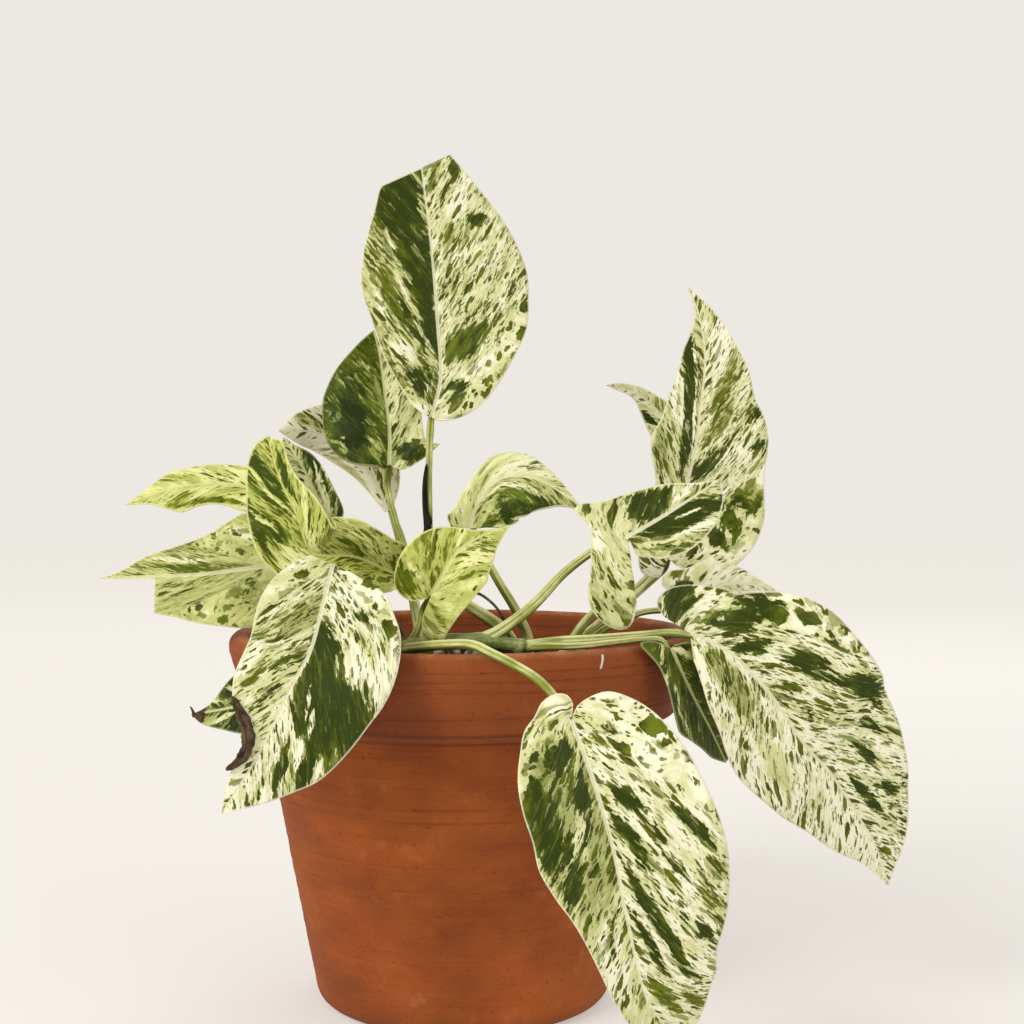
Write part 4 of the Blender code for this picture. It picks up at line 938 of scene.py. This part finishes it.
def pot_material():
    s = Shader("terracotta", 0.8, 0.25)
    angle, height, outside = s.attribute("turned").split()
    mm = s.place()
    cloud = mm.noise((0.022, 0.022, 0.03), 4, 0.6)
    mottle = mm.noise(0.12, 4, 0.6)
    brushed = mm.noise((0.03, 0.03, 1.1), 3, 0.6)
    rings = mm.noise((0.004, 0.004, 0.28), 3, 0.7)
    grain = mm.noise(2.4, 2, 0.6)
    colour = s.blend((cloud * 0.9 + brushed * 0.14).step(-0.8, 0.7), (128, 60, 20), (166, 86, 32))
    colour = s.blend((mottle + cloud * 0.5).step(0.3, 1.3, 0, 0.4), colour, (192, 116, 62))
    collar = height.step(95, 98)
    colour = s.blend(collar * 0.35, colour, (112, 56, 32))
    line = rings.step(0.35, 0.62) * (collar * 0.6 + 0.4)
    colour = s.blend(line * 0.3, colour, (94, 40, 20))
    bloom = (mm.noise((0.05, 0.05, 0.08), 5, 0.7) + grain * 0.2).step(0.5, 1.2)
    colour = s.blend(bloom * 0.22, colour, (206, 172, 140))
    speck = mm.noise(0.9, 1, 0.5).step(0.72, 0.85)
    colour = s.blend(speck * 0.35, colour, (80, 38, 22))
    # Painted shade: darker towards the foot, where the pot stands on the floor
    colour = s.blend(height.step(0, 9, 0.35, 0), colour, (78, 40, 24))
    # The lines of the throwing, the painted shade lines at the ledge, and the worn rim with its painted
    # highlight
    wobble = height + mm.noise(0.02, 2, 0.5) * 0.25 + grain * 0.05
    cuts = 0.0
    for level in THROWING_LINES:
        cuts = abs(wobble - level).step(0.1, 0.55, 1, 0) | cuts
    cuts = cuts * outside * (mottle + cloud).step(-0.6, 1.0, 0.1, 1)
    colour = s.blend(cuts * 0.32, colour, (84, 38, 20))
    # Painted shade: a dark line for a groove's shade just above the collar's lower edge, and a painted
    # shadow just under the ledge
    for level in LEDGE_SHADE_LINES:
        colour = s.blend(abs(wobble - level).step(0.2, 0.9, 1, 0) * 0.5, colour, (78, 32, 18))
    # The rim's top is paler: partly wear and dust, partly a painted highlight where the light falls on
    # it
    worn_and_highlit = wobble.step(121.8, 123.6) * (mottle + grain).step(-0.8, 0.8, 0.2, 1)
    colour = s.blend(worn_and_highlit * 0.45, colour, (204, 146, 106))
    above = height - SCRATCH_HEIGHT
    aside = abs(angle - SCRATCH_ANGLE + above * SCRATCH_SLANT) * SCRATCH_RADIUS
    scratch = (aside + grain * 0.1).step(0.25, 0.5, 1, 0)
    scratch = scratch * (abs(above) + grain * 0.3).step(1.7, 2.3, 1, 0)
    colour = s.blend(scratch * 0.9, colour, (240, 232, 220))
    bumps = (brushed * 0.14 + rings * 0.4 + grain * 0.14 + line * -0.5 + speck * -0.3
             + cuts * -0.9 + scratch * -0.5)
    return s.finish(Base_Color=colour, Roughness=cloud.step(-1, 1, 0.72, 0.86),
                    Normal=bumps.bump(0.0004, 0.8))


def crumb_material(name, dark, light, scale, rough):
    s = Shader(name, rough, 0.3)
    wide, fine = [s.place().noise(size * scale, 3, grit) for size, grit in ((0.22, 0.6), (1.6, 0.7))]
    colour = s.blend((wide + fine * 0.6).step(-0.9, 1.0), dark, light)
    return s.finish(Base_Color=colour, Roughness=fine.step(-1, 1, rough - 0.08, rough + 0.04),
                    Normal=(fine + wide * 0.5).bump(0.0006))


# The other pieces


def make_dry_parts(bitten):
    """The curled dead edge of the bitten leaf, a hooked tip and the dried sheath of a petiole."""
    along, out = np.array(read_rows(BITTEN_EDGE)).T
    edge = bitten.bent(1, along, out) + bitten.axes(along)[1] * 0.9

    def swollen(distance, total):
        ripple = 0.16 * math.sin(distance * 1.1) + 0.1 * math.sin(distance * 2.7)
        return 0.25 + (1.45 + ripple) * math.sin(math.pi * distance / total) ** 0.6

    curled = sweep(edge, swollen, (-0.5, -1, 0.2), sides=28, spacing=0.5, groove=0.62)
    hook = sweep(read_rows(HOOK), lambda d, total: 0.7 * (1 - 0.75 * d / total), (0, 0, 1),
                 sides=10, spacing=0.8)
    strip = sweep(read_rows(STRIP),
                  lambda d, total: 0.2 + 0.75 * math.sin(math.pi * min(1, d / total)) ** 0.5,
                  (0.5, -1, 0), spacing=0.8, groove=0.5)
    sleeve = sweep(read_rows(SLEEVE),
                   lambda d, total: 1.5 + 0.1 * math.sin(d * 1.3) - 0.5 * (d / total) ** 6,
                   (0.8, -1, 0), sides=24, spacing=0.6, groove=0.1)
    add_tubes("dry_parts", [curled, hook, strip, sleeve], dry_material())


def make_roots():
    """Thin aerial roots at the nodes, which reach for the soil."""
    tubes = []
    for text in ROOT_TABLE.strip().split("\n"):
        radius, route = text.split("|")
        tubes.append(sweep(read_rows(route),
                           lambda d, total: float(radius) * (1 - 0.6 * (d / total) ** 2),
                           (0, 0, 1), sides=10, spacing=0.9))
    add_tubes("aerial_roots", tubes, root_material())


def make_pot():
    corners = np.array(read_rows(POT_OUTLINE))
    closed = np.vstack([corners, corners[:1]])
    total = run_lengths(closed)[-1]
    count = int(total / POT_SPACING)
    profile = points_at(closed, np.linspace(0, total, count + 1)[:-1])
    for _ in range(POT_ROUNDINGS):
        profile = 0.5 * profile + 0.25 * (np.roll(profile, 1, 0) + np.roll(profile, -1, 0))
    outside = profile[:, 0] > np.interp(profile[:, 1], *POT_MIDDLE)
    points, faces, values = [], [], []
    for k in range(POT_STEPS):
        angle = 2 * math.pi * k / POT_STEPS
        x, y = math.cos(angle), math.sin(angle)
        for (radius, height), is_out in zip(profile, outside):
            warp = noise.noise(Vector((x * 1.2, y * 1.2, height / 70))) * 0.35
            ring = noise.noise(Vector((x * 0.25, y * 0.25, height / 2.2))) * 0.22
            r = radius + (warp + ring) * (1.0 if is_out else 0.6) * min(1, radius / 30)
            points.append((r * x, r * y, max(height, 0.0)))
            values.append((angle, height, is_out))
        faces += band(k * count, (k + 1) % POT_STEPS * count, count)
    add_piece("clay_pot", points, faces, pot_material(), ["pot"], {"turned": values})


def soil_height(x, y):
    """The CAD soil's lumps with finer ones added."""
    slow = math.sin(0.11 * x + 0.4) * math.cos(0.13 * y - 0.9)
    quick = math.sin(0.27 * x - 0.31 * y + 1.7) + math.cos(0.24 * x + 0.29 * y)
    fine = noise.fractal(Vector((x / 5, y / 5, 3.0)), 1.0, 2.0, 4)
    return SOIL_LEVEL + 1.3 * (slow + 0.5 * quick) + 0.9 * fine


def make_soil():
    angles = [2 * math.pi * k / SOIL_STEPS for k in range(SOIL_STEPS)]
    points = [(0, 0, soil_height(0, 0))]
    for i in range(1, SOIL_RINGS + 1):
        radius = SOIL_RADIUS * i / SOIL_RINGS
        for x, y in [(radius * math.cos(angle), radius * math.sin(angle)) for angle in angles]:
            points.append((x, y, soil_height(x, y)))
    low, (radius, height) = len(points), SOIL_FOOT
    points += [(radius * math.cos(angle), radius * math.sin(angle), height) for angle in angles]
    faces = [(0, 1 + k, 1 + (k + 1) % SOIL_STEPS) for k in range(SOIL_STEPS)]
    for inner in range(1, low, SOIL_STEPS):
        faces += [(d, a, b, c) for a, b, c, d in band(inner + SOIL_STEPS, inner, SOIL_STEPS)]
    faces.append(tuple(low + k for k in reversed(range(SOIL_STEPS))))
    finish = crumb_material("potting_soil", (30, 22, 17), (74, 54, 40), 1.0, 0.9)
    add_piece("soil_bed", points, faces, finish, ["soil"])


def lump_shape():
    """A ball of eighty faces, split once from an icosahedron."""
    points = [np.array(p) for p in read_rows(BALL)]
    faces, known = [], {}

    def between(a, b):
        key = (min(a, b), max(a, b))
        if key not in known:
            known[key] = len(points)
            points.append(unit(points[a] + points[b]))
        return known[key]

    for a, b, c in BALL_FACES:
        d, e, f = between(a, b), between(b, c), between(c, a)
        faces += [(a, d, f), (b, e, d), (c, f, e), (d, e, f)]
    return np.array(points), faces


def scatter(name, count, size, stretch, sink, seed, finish, feet):
    """Small uneven lumps that lie in the soil, clear of the stems' feet."""
    random = np.random.default_rng(seed)
    ball, ball_faces = lump_shape()
    points, faces = [], []
    while len(faces) < count * len(ball_faces):
        angle = random.uniform(0, 2 * math.pi)
        radius = CRUMB_REACH * math.sqrt(random.uniform(0, 1))
        x, y = radius * math.cos(angle), radius * math.sin(angle)
        grain = random.uniform(*size)
        clear = np.min(np.hypot(*(feet - (x, y)).T)) >= CRUMB_GAP + grain
        if not clear or radius + grain > CRUMB_LIMIT:
            continue
        turn = np.linalg.qr(random.normal(size=(3, 3)))[0]
        rough = np.array([1 + 0.45 * noise.noise(Vector(p * 1.3 + radius)) for p in ball])
        shape = ball * rough[:, None] * grain * np.array(stretch) @ turn
        base = len(points)
        points.extend(shape + (x, y, soil_height(x, y) + grain * sink))
        faces.extend(tuple(i + base for i in ring) for ring in ball_faces)
    add_piece(name, points, faces, finish)


# The stage


def add_object(name, data):
    made = bpy.data.objects.new(name, data)
    bpy.context.scene.collection.objects.link(made)
    return made


def make_stage():
    mesh = bpy.data.meshes.new("floor")
    mesh.from_pydata([(-4, -4, 0), (4, -4, 0), (4, 4, 0), (-4, 4, 0)], [], [(0, 1, 2, 3)])
    floor = add_object("floor", mesh)
    s = Shader("pale_floor", 0.9, 0.2)
    where = s.node("TexCoord", {}, "Object")
    away = s.node("VectorMath", {0: where}, "Value", operation="LENGTH")
    mesh.materials.append(s.finish(Base_Color=srgb(192, 190, 186),
                                   Emission_Color=srgb(236, 233, 227),
                                   Emission_Strength=away.step(0.2, 1.6, 0.45, 0.62)))


def make_room():
    """The world's light, a little brighter where the camera sees it, and the lamps."""
    world = bpy.data.worlds.new("room")
    world.use_nodes = True
    nodes, links = world.node_tree.nodes, world.node_tree.links
    nodes["Background"].inputs[0].default_value = srgb(236, 233, 226)
    seen = nodes.new("ShaderNodeLightPath")
    strength = nodes.new("ShaderNodeMapRange")
    strength.inputs["To Min"].default_value = 0.7
    strength.inputs["To Max"].default_value = 1.0
    links.new(seen.outputs["Is Camera Ray"], strength.inputs["Value"])
    links.new(strength.outputs["Result"], nodes["Background"].inputs[1])
    bpy.context.scene.world = world
    for name, place, aim, size, power, colour in LIGHTS:
        light = bpy.data.lights.new(name, "AREA")
        light.shape = "DISK"
        light.size = size
        light.energy = power
        light.color = colour
        made = add_object(name, light)
        made.location = place
        made.rotation_euler = (Vector(aim) - Vector(place)).to_track_quat("-Z", "Y").to_euler()


def make_view():
    camera = bpy.data.cameras.new("camera")
    camera.lens = CAMERA_LENS
    camera.sensor_width = 36
    made = add_object("camera", camera)
    made.location = CAMERA_PLACE
    made.rotation_euler = (math.radians(90 - CAMERA_PITCH), 0, 0)
    bpy.context.scene.camera = made
    bpy.context.scene.view_settings.view_transform = "Standard"


def main():
    leaves = {}
    finishes = {name: leaf_material(name) for name in PALETTES}
    for number, text in enumerate(LEAF_TABLE.split("\n\n")):
        leaf = Leaf(text)
        leaves[leaf.name] = leaf
        make_blade(leaf, number + 1, finishes[leaf.palette])
    green = stem_material()
    feet = []
    for text in VINE_TABLE.split("\n\n"):
        name, route, *stalks = text.split("|")
        name, route = name.strip(), read_rows(route)
        petioles, starts = [], []
        for words, way in zip(stalks[::2], stalks[1::2]):
            (leaf, width, tip), = read_rows(words)
            way = read_rows(way)
            starts.append(way[0])
            petioles.append(petiole(leaves[leaf], width / 2, tip / 2, way))
        add_tubes(name.replace("vine_", "stems_"), [stem(route, starts), *petioles], green, name)
        feet.append(route[0][:2])
    make_roots()
    make_dry_parts(leaves["leaf_front_left"])
    make_pot()
    make_soil()
    feet = np.array(feet)
    grain = crumb_material("soil_grain", (36, 26, 20), (92, 68, 50), 1.4, 0.88)
    scatter("soil_grains", 420, (0.7, 2.0), (1.2, 1, 0.8), 0.1, 11, grain, feet)
    bark = crumb_material("bark", (60, 40, 26), (128, 92, 62), 1.0, 0.85)
    scatter("bark_chips", 60, (1.8, 3.6), (1.7, 1, 0.35), 0.15, 12, bark, feet)
    perlite = crumb_material("perlite", (206, 202, 192), (240, 238, 232), 1.2, 0.8)
    scatter("perlite", 90, (0.7, 1.9), (1, 1, 0.9), 0.35, 13, perlite, feet)
    make_stage()
    make_room()
    make_view()


main()
